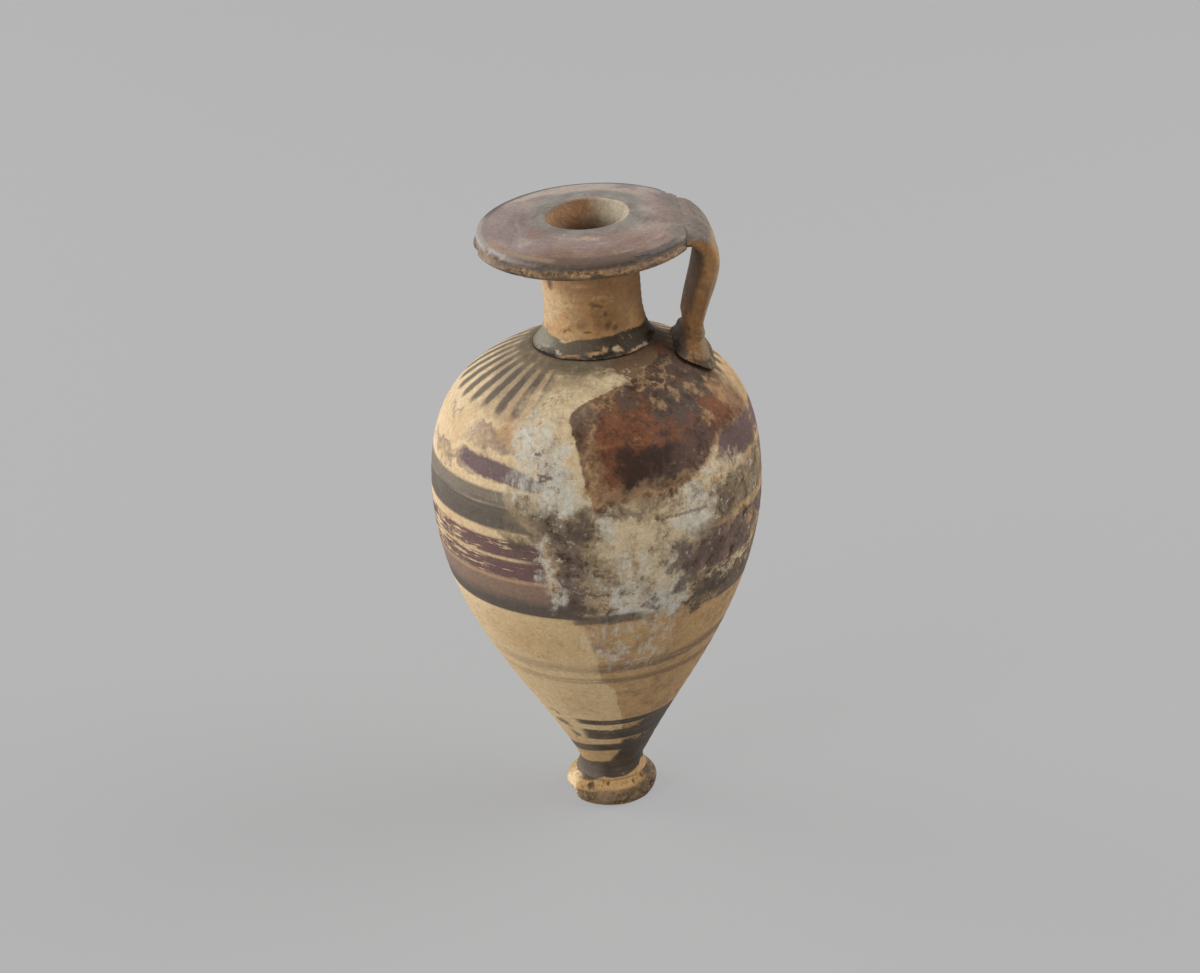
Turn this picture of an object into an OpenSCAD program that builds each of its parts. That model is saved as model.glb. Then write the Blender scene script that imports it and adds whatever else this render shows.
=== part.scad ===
// Small thrown oil flask (aryballos): pear-shaped body on a turned foot, narrow
// neck, broad flat mouth plate, and one strap handle from the plate to the shoulder.
// Millimetres. Origin at the middle of the foot's underside, Z up, handle on +X.

/* [Body] */
// Largest radius of the belly
belly_r = 33.8; // [30:0.1:36]
// Height from the top of the stem to the widest part of the belly
lower_h = 63.7; // [55:0.1:72]
// Height from the widest part of the belly to the seat of the neck
upper_h = 30.5; // [27:0.1:34]
// Thickness of the belly wall
wall = 3.6; // [2.5:0.1:5]
// Radius of the stem where the body springs from it
stem_r = 6.9; // [6:0.1:8.5]
// Height of the stem above the foot
stem_h = 3.7; // [3:0.1:6]
// Thickness of clay left under the hollow of the body
floor_h = 7.0; // [5:0.1:12]

/* [Foot] */
// Height of the foot disc
foot_h = 5.4; // [4:0.1:8]
// Largest radius of the foot disc
foot_r = 9.5; // [8.5:0.1:12]
// Radius of the ring that the flask stands on
base_r = 8.7; // [8:0.1:9.4]
// Radius of the hollow turned under the foot
recess_r = 5.8; // [4:0.1:7]
// Depth of the hollow turned under the foot
recess_d = 1.2; // [0.5:0.1:2.5]

/* [Neck] */
// Height of the neck tube
neck_h = 17.3; // [12:0.1:24]
// Outer radius of the neck at its slimmest
neck_r = 9.8; // [8.5:0.1:12]
// Outer radius of the neck's flared root
neck_root_r = 12.3; // [11:0.1:14]
// Radius of the bore that a stopper fits
bore_r = 5.7; // [4:0.1:6.5]
// How much wider the openings of the body and the plate are than the bore
bore_step = 0.3; // [0.1:0.1:0.6]
// Thickness of the luting clay between shoulder and neck
lute_t = 0.4; // [0.2:0.1:1]
// How far the luting clay stays back from the surface
lute_back = 0.5; // [0.3:0.1:1.5]

/* [Mouth plate] */
// Height of the mouth plate, from the neck's top to the lip of the hole
mouth_h = 9.0; // [7:0.1:12]
// Largest radius of the mouth plate
mouth_r = 22.4; // [18:0.1:24]
// Radius of the hole at its lip
hole_r = 8.6; // [7:0.1:10]
// How far the plate's top falls from the hole to the edge
top_fall = 1.9; // [0.5:0.1:3]
// Thickness of the plate at its edge
edge_t = 3.6; // [2.5:0.1:4.5]
// Depth of the groove round the plate's edge
edge_groove = 0.35; // [0.1:0.05:0.6]
// Rounding of the plate's corners
edge_round = 0.7; // [0.3:0.1:1]

/* [Strap handle] */
// Distance from the axis to the flat where the strap joins the plate
seat_x = 19.0; // [17:0.1:20]
// Widths of the strap at equal steps from the bend's start to the shoulder
strap_widths = [18.2, 15.6, 14.4, 13.6, 12.8];
// Thicknesses of the strap at equal steps from plate to shoulder
strap_thicks = [4.2, 4.0, 4.7, 4.8, 4.4, 4.1];
// Distance from the axis to the strap's middle at its outermost
reach_r = 23.4; // [22:0.1:27]
// Distance from the axis to the middle of the strap's lower end
root_r = 19.6; // [18:0.1:22]
// Height of the strap's lower end above the neck's seat
root_rise = 3.1; // [1.5:0.1:4]
// Width of the clay pad that carries the strap on the shoulder
pad_w = 18.0; // [15:0.1:20]
// Length of the same pad, down the slope of the shoulder
pad_l = 9.4; // [7:0.1:12]
// How much further out than the strap's end the foot of the pad lies
pad_out = 1.0; // [0:0.1:2]
// How far the foot of the pad reaches below the neck's seat
pad_sink = 3.9; // [3:0.1:6]

/* [Hidden] */
$fn = 96;

// Heights and radii that follow from the sizes above
body_z = foot_h + stem_h;
belly_z = body_z + lower_h;
shoulder_z = belly_z + upper_h;
neck_z = shoulder_z + lute_t;
mouth_z = neck_z + neck_h;
top_z = mouth_z + mouth_h;
crest_z = top_z - top_fall;
under_z = crest_z - edge_t;
throat_r = bore_r + bore_step;
rim_r = mouth_r - 0.5;

// Colours of the fired clay and of the paint that covers most of each piece
buff = [0.74, 0.60, 0.42];
pale_buff = [0.86, 0.74, 0.52];
dark_paint = [0.25, 0.21, 0.19];
purple_paint = [0.50, 0.42, 0.38];
orange_clay = [0.66, 0.47, 0.28];

// Points of a cubic curve with end points a and d and handles b and c
function curve(a, b, c, d, n) = [for (i = [0 : n]) let (t = i / n, u = 1 - t)
    u * u * u * a + 3 * u * u * t * b + 3 * u * t * t * c + t * t * t * d];
// Points of an arc round a centre, from one angle to another
function arc(centre, r, from, to, n) = [for (i = [0 : n])
    let (a = from + (to - from) * i / n) centre + r * [cos(a), sin(a)]];
// A list without its first item, for chaining curves that share a point
function tail(list) = [for (i = [1 : len(list) - 1]) list[i]];
// A value on a smooth line through equally spaced stations, with s from 0 to 1
function station(v, i) = v[min(max(i, 0), len(v) - 1)];
function smooth(v, s) = let (x = s * (len(v) - 1), i = min(floor(x), len(v) - 2), t = x - i,
    a = station(v, i - 1), b = v[i], c = v[i + 1], d = station(v, i + 2))
    b + t * (c - a + t * (2 * a - 5 * b + 4 * c - d + t * (3 * (b - c) + d - a))) / 2;

// Outer line of the body, from the foot to the seat of the neck: a waisted stem,
// an almost straight lower wall, a full belly and a shoulder that flattens out
stem_foot_r = stem_r + 0.5;
stem_line = curve([stem_foot_r, foot_h], [stem_r, foot_h + 0.3 * stem_h],
                  [stem_r - 0.5, body_z - 0.3 * stem_h], [stem_r, body_z], 8);
lower_line = curve([stem_r, body_z], [0.44 * belly_r, body_z + 0.27 * lower_h],
                   [belly_r, belly_z - 0.405 * lower_h], [belly_r, belly_z], 36);
upper_line = curve([belly_r, belly_z], [belly_r, belly_z + 0.675 * upper_h],
                   [0.77 * belly_r, shoulder_z - 0.175 * upper_h], [neck_root_r, shoulder_z], 28);
body_outline = concat(stem_line, tail(lower_line), tail(upper_line));

module foot_profile() {
    edge_z = 0.46 * foot_h;
    polygon(concat(
        [[0, recess_d], [0.55 * recess_r, 0.9 * recess_d], [recess_r, 0], [base_r - 0.3, 0]],
        tail(arc([base_r - 0.3, 0.3], 0.3, -90, 0, 3)),
        tail(curve([base_r, 0.3], [foot_r - 0.1, 0.2 * foot_h],
                   [foot_r, edge_z - 0.6], [foot_r, edge_z], 8)),
        tail(curve([foot_r, edge_z], [foot_r, edge_z + 1.1],
                   [foot_r - 0.9, 0.83 * foot_h], [stem_foot_r, foot_h], 8)),
        [[0, foot_h]]));
}

module foot() {
    color(pale_buff) rotate_extrude() foot_profile();
}

// The hollow keeps the wall's thickness at the belly and grows thicker below,
// where the potter leaves clay for turning the stem
module body() {
    cave_r = belly_r - wall;
    cave_z = foot_h + stem_h + floor_h;
    cave_top = shoulder_z - 0.6 * wall;
    hollow = concat(
        curve([0, cave_z], [0.42 * cave_r, cave_z + 0.5],
              [cave_r, belly_z - 0.46 * lower_h], [cave_r, belly_z], 24),
        tail(curve([cave_r, belly_z], [cave_r, belly_z + 0.6 * upper_h],
                   [0.75 * cave_r, shoulder_z - 0.28 * upper_h], [throat_r, cave_top], 18)));
    reversed = [for (i = [len(hollow) - 1 : -1 : 0]) hollow[i]];
    color(buff) rotate_extrude()
        polygon(concat([[0, foot_h]], body_outline, [[throat_r, shoulder_z]], reversed));
}

// Thin ring of clay in the joint between shoulder and neck
module neck_luting() {
    color(dark_paint) translate([0, 0, shoulder_z]) difference() {
        cylinder(r = neck_root_r - lute_back, h = lute_t);
        translate([0, 0, -1]) cylinder(r = throat_r + lute_back, h = lute_t + 2);
    }
}

// Slim tube with a flared root; the bore runs straight through it
module neck() {
    slim_z = neck_z + 0.47 * neck_h;
    flare = 0.2;
    color(orange_clay) rotate_extrude() polygon(concat(
        [[bore_r, neck_z]],
        curve([neck_root_r, neck_z], [neck_root_r - 1.6, neck_z + 0.09 * neck_h],
              [neck_r, neck_z + 0.24 * neck_h], [neck_r, slim_z], 14),
        tail(curve([neck_r, slim_z], [neck_r, slim_z + 0.3 * neck_h],
                   [neck_r, mouth_z - 2], [neck_r + flare, mouth_z], 6)),
        [[bore_r, mouth_z]]));
}

// Funnel, sloping top, grooved edge and dished underside of the mouth plate
module mouth_profile() {
    lip = 0.5;
    top_corner = [rim_r - edge_round, crest_z - edge_round];
    low_corner = [mouth_r - edge_round, under_z + edge_round + 0.4];
    polygon(concat(
        [[throat_r, mouth_z], [throat_r, mouth_z + 0.12 * mouth_h]],
        tail(curve([throat_r, mouth_z + 0.12 * mouth_h], [throat_r + 0.2, mouth_z + 0.5 * mouth_h],
                   [hole_r - 1.1, top_z - 0.25 * mouth_h], [hole_r - lip, top_z - lip], 12)),
        tail(arc([hole_r, top_z - lip], lip, 180, 90, 4)),
        tail(curve([hole_r, top_z], [hole_r + 4, top_z - 0.15],
                   [mouth_r - 5, crest_z + 0.7], [top_corner[0], crest_z], 14)),
        tail(arc(top_corner, edge_round, 90, 0, 5)),
        tail(curve([rim_r, crest_z - edge_round],
                   [rim_r - edge_groove, crest_z - 0.35 * edge_t],
                   [mouth_r - edge_groove, crest_z - 0.5 * edge_t], low_corner + [edge_round, 0], 6)),
        tail(arc(low_corner, edge_round, 0, -75, 5)),
        tail(curve([mouth_r - 0.52 * edge_round, under_z + 0.42],
                   [mouth_r - 4, under_z - 1.0], [neck_r + 4, mouth_z + 1.2],
                   [neck_r + 0.2, mouth_z], 12))));
}

module mouth_plate() {
    color(purple_paint) difference() {
        rotate_extrude() mouth_profile();
        // flat on the edge where the strap is joined on
        translate([seat_x, -mouth_r, under_z - 5]) cube([mouth_r, 2 * mouth_r, mouth_h + 10]);
    }
}

// Middle line of the strap in the X-Z plane: out from the plate, over a tight
// bend, then down and inwards to the shoulder
strap_start = seat_x + lute_t;
strap_mid_z = crest_z - 0.48 * strap_thicks[0];
bend_z = mouth_z - 0.1 * strap_thicks[0];
root_z = shoulder_z + root_rise;
strap_path = concat(
    curve([strap_start, strap_mid_z], [strap_start + 2.3, strap_mid_z - 0.1],
          [reach_r + 0.2, bend_z + 3.1], [reach_r, bend_z], 20),
    tail(curve([reach_r, bend_z], [reach_r - 0.1, bend_z - 4.4],
               [root_r + 1.0, root_z + 4.9], [root_r, root_z], 22)));
strap_n = len(strap_path);
// Widths from the plate's flat onwards: the strap starts as wide as the flat's top edge
join_w = 2 * sqrt(rim_r * rim_r - seat_x * seat_x);
all_widths = concat([join_w], strap_widths);

// Closed outline with rounded corners, half sizes a and b, as [along, across]
sides = 28;
function rounded(a, b) = [for (i = [0 : sides - 1]) let (t = 360 * (i + 0.5) / sides,
    c = cos(t), s = sin(t), k = 0.5)
    [a * sign(c) * pow(abs(c), k), b * sign(s) * pow(abs(s), k)]];
// That outline set at a point of the X-Z plane, with its thickness along an angle
function placed(p, angle, half_t, half_w) = [for (q = rounded(half_t, half_w))
    [p[0] + q[0] * cos(angle), q[1], p[1] + q[0] * sin(angle)]];
// Angle of the strap's outward side at a ring, square to the path
function outward(i) = i == 0 ? 90 : i == strap_n - 1 ? root_angle :
    let (d = strap_path[i + 1] - strap_path[i - 1]) atan2(d[1], d[0]) + 90;
root_angle = let (d = strap_path[strap_n - 1] - strap_path[strap_n - 3]) atan2(d[1], d[0]) + 90;

// A solid through a row of rings with the same number of points
module loft(rings) {
    n = len(rings);
    m = len(rings[0]);
    polyhedron(
        points = [for (r = rings) each r],
        faces = concat(
            [[for (j = [0 : m - 1]) j]],
            [for (i = [0 : n - 2], j = [0 : m - 1]) let (k = (j + 1) % m)
                each [[i * m + j, (i + 1) * m + j, (i + 1) * m + k],
                      [i * m + j, (i + 1) * m + k, i * m + k]]],
            [[for (j = [m - 1 : -1 : 0]) (n - 1) * m + j]]));
}

module handle() {
    color(orange_clay) loft([for (i = [0 : strap_n - 1]) let (s = i / (strap_n - 1))
        placed(strap_path[i], outward(i), smooth(strap_thicks, s) / 2, smooth(all_widths, s) / 2)]);
}

// Slip between the plate's flat and the strap, held back from the surface
module handle_top_luting() {
    back = 0.4;
    color(dark_paint) translate([seat_x, 0, strap_mid_z]) rotate([90, 0, 90])
        linear_extrude(lute_t) polygon([for (q = rounded(strap_thicks[0] / 2 - back,
            join_w / 2 - 2 * back)) [q[1], q[0]]]);
}

// Pad of clay that spreads the strap's lower end over the shoulder: its sides
// flare out as they come down, and its underside is cut by the shoulder itself
module handle_root_pad() {
    steps = 8;
    slope = -27;
    sunk = [root_r + pad_out, shoulder_z - pad_sink];
    end_t = strap_thicks[len(strap_thicks) - 1] / 2;
    end_w = strap_widths[len(strap_widths) - 1] / 2;
    start = strap_path[strap_n - 1];
    color(orange_clay) difference() {
        loft([for (i = [0 : steps]) let (s = i / steps, f = pow(s, 2.6))
            placed(start + s * (sunk - start), root_angle + s * (slope - root_angle),
                   end_t + f * (pad_l / 2 - end_t), end_w + f * (pad_w / 2 - end_w))]);
        rotate_extrude() polygon(concat([[0, foot_h]], body_outline, [[0, shoulder_z]]));
    }
}

foot();
body();
neck_luting();
neck();
mouth_plate();
handle_top_luting();
handle();
handle_root_pad();
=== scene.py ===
# %% [markdown]
# # A small oil flask off the potter's wheel
# The flask is a pear-shaped pot of fired clay, a hand's length tall, with a wide flat mouth
# plate and one strap handle. This lesson rebuilds it piece by piece. The first cell loads the
# packed solids, which give every piece its place and its size.

# %% Load the packed flask
from math import cos, pi, radians, sin

import bpy
import numpy as np
from mathutils import Matrix, Vector, noise


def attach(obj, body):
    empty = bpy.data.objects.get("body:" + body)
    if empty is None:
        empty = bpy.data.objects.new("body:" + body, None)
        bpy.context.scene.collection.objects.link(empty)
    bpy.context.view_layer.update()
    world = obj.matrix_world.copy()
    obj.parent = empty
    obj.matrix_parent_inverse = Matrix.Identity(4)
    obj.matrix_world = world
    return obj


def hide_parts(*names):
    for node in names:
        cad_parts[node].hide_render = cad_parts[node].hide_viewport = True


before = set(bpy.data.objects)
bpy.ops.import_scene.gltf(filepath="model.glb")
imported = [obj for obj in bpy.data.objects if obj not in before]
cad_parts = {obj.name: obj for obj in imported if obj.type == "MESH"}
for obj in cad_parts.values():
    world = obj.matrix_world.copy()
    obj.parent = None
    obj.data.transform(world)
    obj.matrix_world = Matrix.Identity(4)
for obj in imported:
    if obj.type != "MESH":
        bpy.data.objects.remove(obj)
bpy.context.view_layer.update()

print("pieces:", ", ".join(sorted(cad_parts)))

# %% [markdown]
# A potter's pot is never quite upright. This one bows half a millimetre to one side, its right
# side stands about one degree too high, and its neck was set back on with a tilt of its own.
# Each piece is made upright first, because that keeps its outline simple, and then this one
# function leans all of them in the same way, so that they still meet.

# %% The pot's own lean
MM = 0.001
HALF_H = 65                         # mm, half the pot's height
BOW, BEND = 0.58, 0.035             # mm: how far the middle bows, and a slight S in the bow
# heights in mm, and there: the shift to the right in mm, then the degrees by which the right
# side, and the back, stand too high
SHIFT = ([0, 5.4, 12, 103.4, 103.8, 108, 113, 119, 123],
         [-0.5, -0.4, 0, 0, 0.9, 0.85, 0.6, 0.3, -0.25])
RIGHT_UP = ([0, 52, 103.4, 103.8, 121, 130], [0, 1.02, 1.02, 1.2, 1.5, 1.52])
BACK_UP = ([112, 123], [0, 1.2])


def lean(points):
    """Moves upright points (in millimetres) to where they are on the leaning pot."""
    x, y, z = points.T
    u = (z - HALF_H) / HALF_H
    sway = BOW * (u * u - 1) + BEND * (u ** 3 - u) + np.interp(z, *SHIFT)
    right_up, back_up = (np.tan(np.radians(np.interp(z, *at))) for at in (RIGHT_UP, BACK_UP))
    return np.stack([x + sway, y, z + x * right_up + y * back_up], axis=1)


print("the middle of the mouth leans by", lean(np.array([[0.0, 0.0, 130.0]]))[0].round(2))

# %% [markdown]
# The outlines are drawn from a few curves between named heights, as a potter checks a profile
# with a rib. A cubic curve has two end points and two handles. An arc rounds a corner.

# %% Curves for the outlines


def curve(a, b, c, d, steps):
    """Points of a cubic curve from a to d, without a itself."""
    t = np.linspace(0, 1, steps + 1)[1:, None]
    u = 1 - t
    a, b, c, d = (np.array(p, float) for p in (a, b, c, d))
    return list(u ** 3 * a + 3 * u * u * t * b + 3 * u * t * t * c + t ** 3 * d)


def straight(a, b, steps):
    """Points of a straight line from a to b, without a itself."""
    return curve(a, np.array(a) + (np.array(b) - a) / 3, np.array(b) - (np.array(b) - a) / 3, b,
                 steps)


def arc(centre, r, start, end, steps):
    """Points round a centre, from one angle in degrees to another."""
    t = np.radians(np.linspace(start, end, steps + 1))
    return [np.array([centre[0] + r * cos(a), centre[1] + r * sin(a)]) for a in t]


print("a quarter round in 4 steps:", [tuple(p.round(2)) for p in arc((0, 0), 1, 0, 90, 4)])

# %% [markdown]
# Materials and Geometry Nodes are both networks of nodes. A small class stands for a value
# that comes out of a node, so that sums on it can be written as plain Python. Without it,
# each sum would be a node to make and two links to draw by hand.

# %% The wire


class Wire:
    """A value that comes out of a node. A sum on it adds a Math or Vector Math node."""

    def __init__(self, bench, socket):
        self.bench, self.socket = bench, socket
        self.wide = socket.type in ("VECTOR", "RGBA")

    def _sum(self, operation, a, b):
        wide = any(isinstance(v, Wire) and v.wide or isinstance(v, tuple) for v in (a, b))
        kind = "ShaderNodeVectorMath" if wide else "ShaderNodeMath"
        return self.bench.add(kind, {"operation": operation}, [a, b])

    def __add__(self, other):
        return self._sum("ADD", self, other)

    def __sub__(self, other):
        return self._sum("SUBTRACT", self, other)

    def __rsub__(self, other):
        return self._sum("SUBTRACT", other, self)

    def __mul__(self, other):
        return self._sum("MULTIPLY", self, other)

    def __truediv__(self, other):
        return self._sum("DIVIDE", self, other)

    def __rtruediv__(self, other):
        return self._sum("DIVIDE", other, self)

    __radd__ = __add__
    __rmul__ = __mul__


print("a wire knows the sums", [name for name in vars(Wire) if name.startswith("__r")])

# %% [markdown]
# The bench makes any node from its type, its settings and its inputs, so every network here
# is built one way. The settings come first, because they decide which sockets a node has.

# %% The bench


class Bench:
    """Makes the nodes of one network."""

    def __init__(self, tree):
        self.tree = tree

    def add(self, kind, settings=None, values=(), out=0):
        """A node of any kind, with its settings first and then its inputs, by place or by name.
        It gives the wire of one output, or a list of wires where out names several."""
        node = self.tree.nodes.new(kind)
        for key, value in (settings or {}).items():
            if key == "points":
                self._points(node.mapping, value)
            else:
                setattr(node, key, value)
        for key, value in values.items() if isinstance(values, dict) else enumerate(values):
            self.feed(self._pick(node.inputs, key), value)
        if not node.outputs:
            return node
        if isinstance(out, tuple):
            return [Wire(self, self._pick(node.outputs, key)) for key in out]
        return Wire(self, self._pick(node.outputs, out))

    def _pick(self, sockets, key):
        """A socket that is in use, by its place in the row or by its name."""
        used = [s for s in sockets if s.enabled]
        return used[key] if isinstance(key, int) else [s for s in used if s.name == key][0]

    def feed(self, socket, value):
        """Links a wire to a socket, or sets the socket to a plain value."""
        if isinstance(value, Wire):
            self.tree.links.new(value.socket, socket)
        elif value is not None:
            if socket.type == "VECTOR" and not isinstance(value, tuple):
                value = (value,) * 3
            elif socket.type == "RGBA" and isinstance(value, tuple) and len(value) == 3:
                value = (*value, 1)
            socket.default_value = value

    def _points(self, mapping, points):
        """Draws a curve node's line through some points."""
        line = mapping.curves[0]
        while len(line.points) < len(points):
            line.points.new(0.5, 0.5)
        for point, place in zip(line.points, points):
            point.location, point.handle_type = place, "VECTOR"
        mapping.update()


def cleared(owner):
    """The bench of a material's or a world's own network, emptied."""
    owner.use_nodes = True
    owner.node_tree.nodes.clear()
    return Bench(owner.node_tree)


print("the bench has", [name for name in vars(Bench) if not name.startswith("__")])

# %% [markdown]
# A few sums have no sign in Python, such as a sine or the greater of two values. Each gets a
# short name here, so that the finishes below still read as sums.

# %% Sums with a name


def calc(operation, *values):
    """One Math node, for what has no sign in Python, such as a sine."""
    return values[0].bench.add("ShaderNodeMath", {"operation": operation}, values)


def greater(a, b):
    """The greater of two values."""
    return calc("MAXIMUM", a, b)


def lesser(a, b):
    """The lesser of two values."""
    return calc("MINIMUM", a, b)


def together(x, y, z):
    """One vector from three values."""
    bench = [v.bench for v in (x, y, z) if isinstance(v, Wire)][0]
    return bench.add("ShaderNodeCombineXYZ", {}, [x, y, z])


def distance(vector):
    """The length of a vector."""
    return vector.bench.add("ShaderNodeVectorMath", {"operation": "LENGTH"}, [vector])


print("named sums:", ", ".join(f.__name__ for f in (calc, greater, lesser, together, distance)))


# %% [markdown]
# A turned piece is an outline swept once round the axis. Geometry Nodes do it as the wheel
# does. A flat grid gets one column for each step of the turn and one row for each point of
# the outline, and every grid point is moved to its place on the pot. Then two things are added
# that fingers leave on wet clay: a fine spiral of finger lines and a slow unevenness. The seam
# and the poles are closed by merging the points that fall on each other.

# %% The wheel, as a Geometry Nodes tree
GRIP_SEED, GRIP_SCALE = 7, 0.06     # where the fingers press harder: its own noise, in 1/mm
AXIS_CALM = 400                     # 1/m: nothing is uneven within 2.5 mm of the axis
WELD = 1e-6                         # m: points this near to each other are one


def wheel_tree():
    """The tree that turns an outline into a pot."""
    tree = bpy.data.node_groups.new("wheel", "GeometryNodeTree")
    inputs = [("Outline", "NodeSocketGeometry", None), ("Sides", "NodeSocketInt", 64),
              ("Finger line depth", "NodeSocketFloat", 0.0),
              ("Finger line pitch", "NodeSocketFloat", 2.0), ("Unevenness", "NodeSocketFloat", 0.0),
              ("Unevenness size", "NodeSocketFloat", 20.0), ("Seed", "NodeSocketFloat", 1.0),
              ("Clay", "NodeSocketMaterial", None)]
    for name, kind, value in inputs:
        socket = tree.interface.new_socket(name, in_out="INPUT", socket_type=kind)
        if value is not None:
            socket.default_value = value
    tree.interface.new_socket("Pot", in_out="OUTPUT", socket_type="NodeSocketGeometry")
    bench = Bench(tree)
    names = tuple(name for name, _, _ in inputs)
    given = dict(zip(names, bench.add("NodeGroupInput", out=names)))

    count = bench.add("GeometryNodeAttributeDomainSize", {"component": "MESH"}, [given["Outline"]])
    grid = bench.add("GeometryNodeMeshGrid", {}, [1.0, 1.0, given["Sides"] + 1, count])
    place = bench.add("GeometryNodeInputPosition")
    across, along = bench.add("ShaderNodeSeparateXYZ", {}, [place], ("X", "Y"))
    row = calc("ROUND", (along + 0.5) * (count - 1))
    point = bench.add("GeometryNodeSampleIndex", {"data_type": "FLOAT_VECTOR", "domain": "POINT"},
                      {"Geometry": given["Outline"],
                       "Value": bench.add("GeometryNodeInputPosition"), "Index": row})
    radius, height = bench.add("ShaderNodeSeparateXYZ", {}, [point], ("X", "Z"))

    angle = across * (-2 * pi)
    east = calc("COSINE", angle)
    north = calc("SINE", angle)
    upright = together(east * radius, north * radius, height)
    phase = height * (1000 * 2 * pi) / given["Finger line pitch"] - angle
    fingers = calc("SINE", phase)
    swell = bench.add("ShaderNodeTexNoise", {"noise_dimensions": "4D"},
                      {"Vector": upright * 1000, "W": given["Seed"], "Detail": 2.0,
                       "Scale": 1 / given["Unevenness size"]}, "Fac")
    grip = bench.add("ShaderNodeTexNoise", {"noise_dimensions": "4D"},
                     {"Vector": upright * 1000, "W": given["Seed"] + GRIP_SEED,
                      "Scale": GRIP_SCALE}, "Fac")
    depth = (fingers * grip * given["Finger line depth"]
             + (swell - 0.5) * given["Unevenness"]) * MM
    inside = lesser(radius * AXIS_CALM, 1.0)
    full = radius + depth * inside
    pot = together(east * full, north * full, height)

    turned = bench.add("GeometryNodeSetPosition", {}, {"Geometry": grid, "Position": pot})
    closed = bench.add("GeometryNodeMergeByDistance", {}, {"Geometry": turned, "Distance": WELD})
    smooth = bench.add("GeometryNodeSetShadeSmooth", {}, {"Geometry": closed})
    real = bench.add("GeometryNodeRealizeInstances", {}, [smooth])
    clay = bench.add("GeometryNodeSetMaterial", {}, {"Geometry": real, "Material": given["Clay"]})
    bench.add("NodeGroupOutput", {}, [clay])
    return tree


WHEEL = wheel_tree()
print("the wheel has", len(WHEEL.nodes), "nodes")

# %% [markdown]
# This helper gives one outline to the wheel and brings back a plain mesh. An input of the
# modifier is set through the identifier of its socket, which stays the same when a name is
# changed. The plain mesh is what the later cells press and chip, and lean at the end.

# %% Turn one outline


def put(name, data):
    """A new object in the scene."""
    thing = bpy.data.objects.new(name, data)
    bpy.context.scene.collection.objects.link(thing)
    return thing


def turn(name, outline, clay, sides, **sizes):
    """Turns an outline of (radius, height) pairs in millimetres into a mesh object."""
    points = [(r * MM, 0, z * MM) for r, z in outline]
    thread = bpy.data.meshes.new(name + "_outline")
    thread.from_pydata(points, [(i, i + 1) for i in range(len(points) - 1)], [])
    blank = put(name + "_blank", thread)
    modifier = blank.modifiers.new("wheel", "NODES")
    modifier.node_group = WHEEL
    given = {"Sides": sides, "Clay": clay, **{k.replace("_", " "): v for k, v in sizes.items()}}
    for item in WHEEL.interface.items_tree:
        if item.in_out == "INPUT" and item.name in given:
            modifier[item.identifier] = given[item.name]
    blank.update_tag()
    ready = blank.evaluated_get(bpy.context.evaluated_depsgraph_get())
    mesh = bpy.data.meshes.new_from_object(ready)
    bpy.data.objects.remove(blank)
    return mesh


print("sides of a piece can be set by", WHEEL.interface.items_tree["Sides"].identifier)

# %% [markdown]
# Each finished mesh is leaned, given to an object, and handed over: it rides on the one body
# of the flask and stands in for its own solid. Smooth shading with sharp edges from an angle
# keeps the round walls soft and the cut edges crisp.

# %% Hand a piece over
SHARP = radians(55)


def points_of(mesh):
    """A mesh's points in millimetres."""
    flat = np.empty(len(mesh.vertices) * 3)
    mesh.vertices.foreach_get("co", flat)
    return flat.reshape(-1, 3) / MM


def hand_over(name, mesh, points):
    """Leans the points, stores them, and hands the piece over in place of its solid."""
    mesh.vertices.foreach_set("co", (lean(points) * MM).ravel())
    mesh.update()
    piece = put(name, mesh)
    mesh.shade_smooth()
    mesh.set_sharp_from_angle(angle=SHARP)
    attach(piece, "root")
    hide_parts(name)
    low, high = points[:, 2].min(), points[:, 2].max()
    print(f"{name}: {len(mesh.polygons)} faces, z {low:.1f} to {high:.1f} mm")


print("edges sharper than", round(SHARP, 2), "radians stay sharp")

# %% [markdown]
# Colours are written as a painter reads them off a colour card, from 0 to 255, and turned into
# the linear numbers that the renderer adds up. The other helpers here are the few moves that
# every finish below is made of: a noise, a soft edge, a mix of two colours, a line drawn
# through a few given points, and the distance to the nearest of some oval patches.

# %% Colours and the painter's moves


def colour(red, green, blue):
    """A colour from a card, as linear light."""
    return tuple(((c / 255 + 0.055) / 1.055) ** 2.4 if c > 10 else c / 3295
                 for c in (red, green, blue))


def cloud(where, size, detail=3.0, rough=0.5, stretch=(1, 1, 1)):
    """Noise around 0.5, with lumps of about the given size in millimetres."""
    vector = where * tuple(s / size for s in stretch)
    return where.bench.add("ShaderNodeTexNoise", {"noise_dimensions": "3D"},
                           {"Vector": vector, "Scale": 1.0, "Detail": detail,
                            "Roughness": rough}, "Fac")


def edge(value, start, end):
    """Goes softly from 0 at start to 1 at end."""
    return value.bench.add("ShaderNodeMapRange", {"interpolation_type": "SMOOTHSTEP"},
                           {"Value": value, "From Min": start, "From Max": end, "To Min": 0.0,
                            "To Max": 1.0})


def between(value, low, high, soft):
    """1 between two limits, with soft edges."""
    return edge(value - low, -soft, soft) * edge(value - high, soft, -soft)


def blend(under, over, amount):
    """Lays one colour over another."""
    return amount.bench.add("ShaderNodeMix", {"data_type": "RGBA", "clamp_factor": True},
                            {"Factor": amount, "A": under, "B": over})


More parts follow.
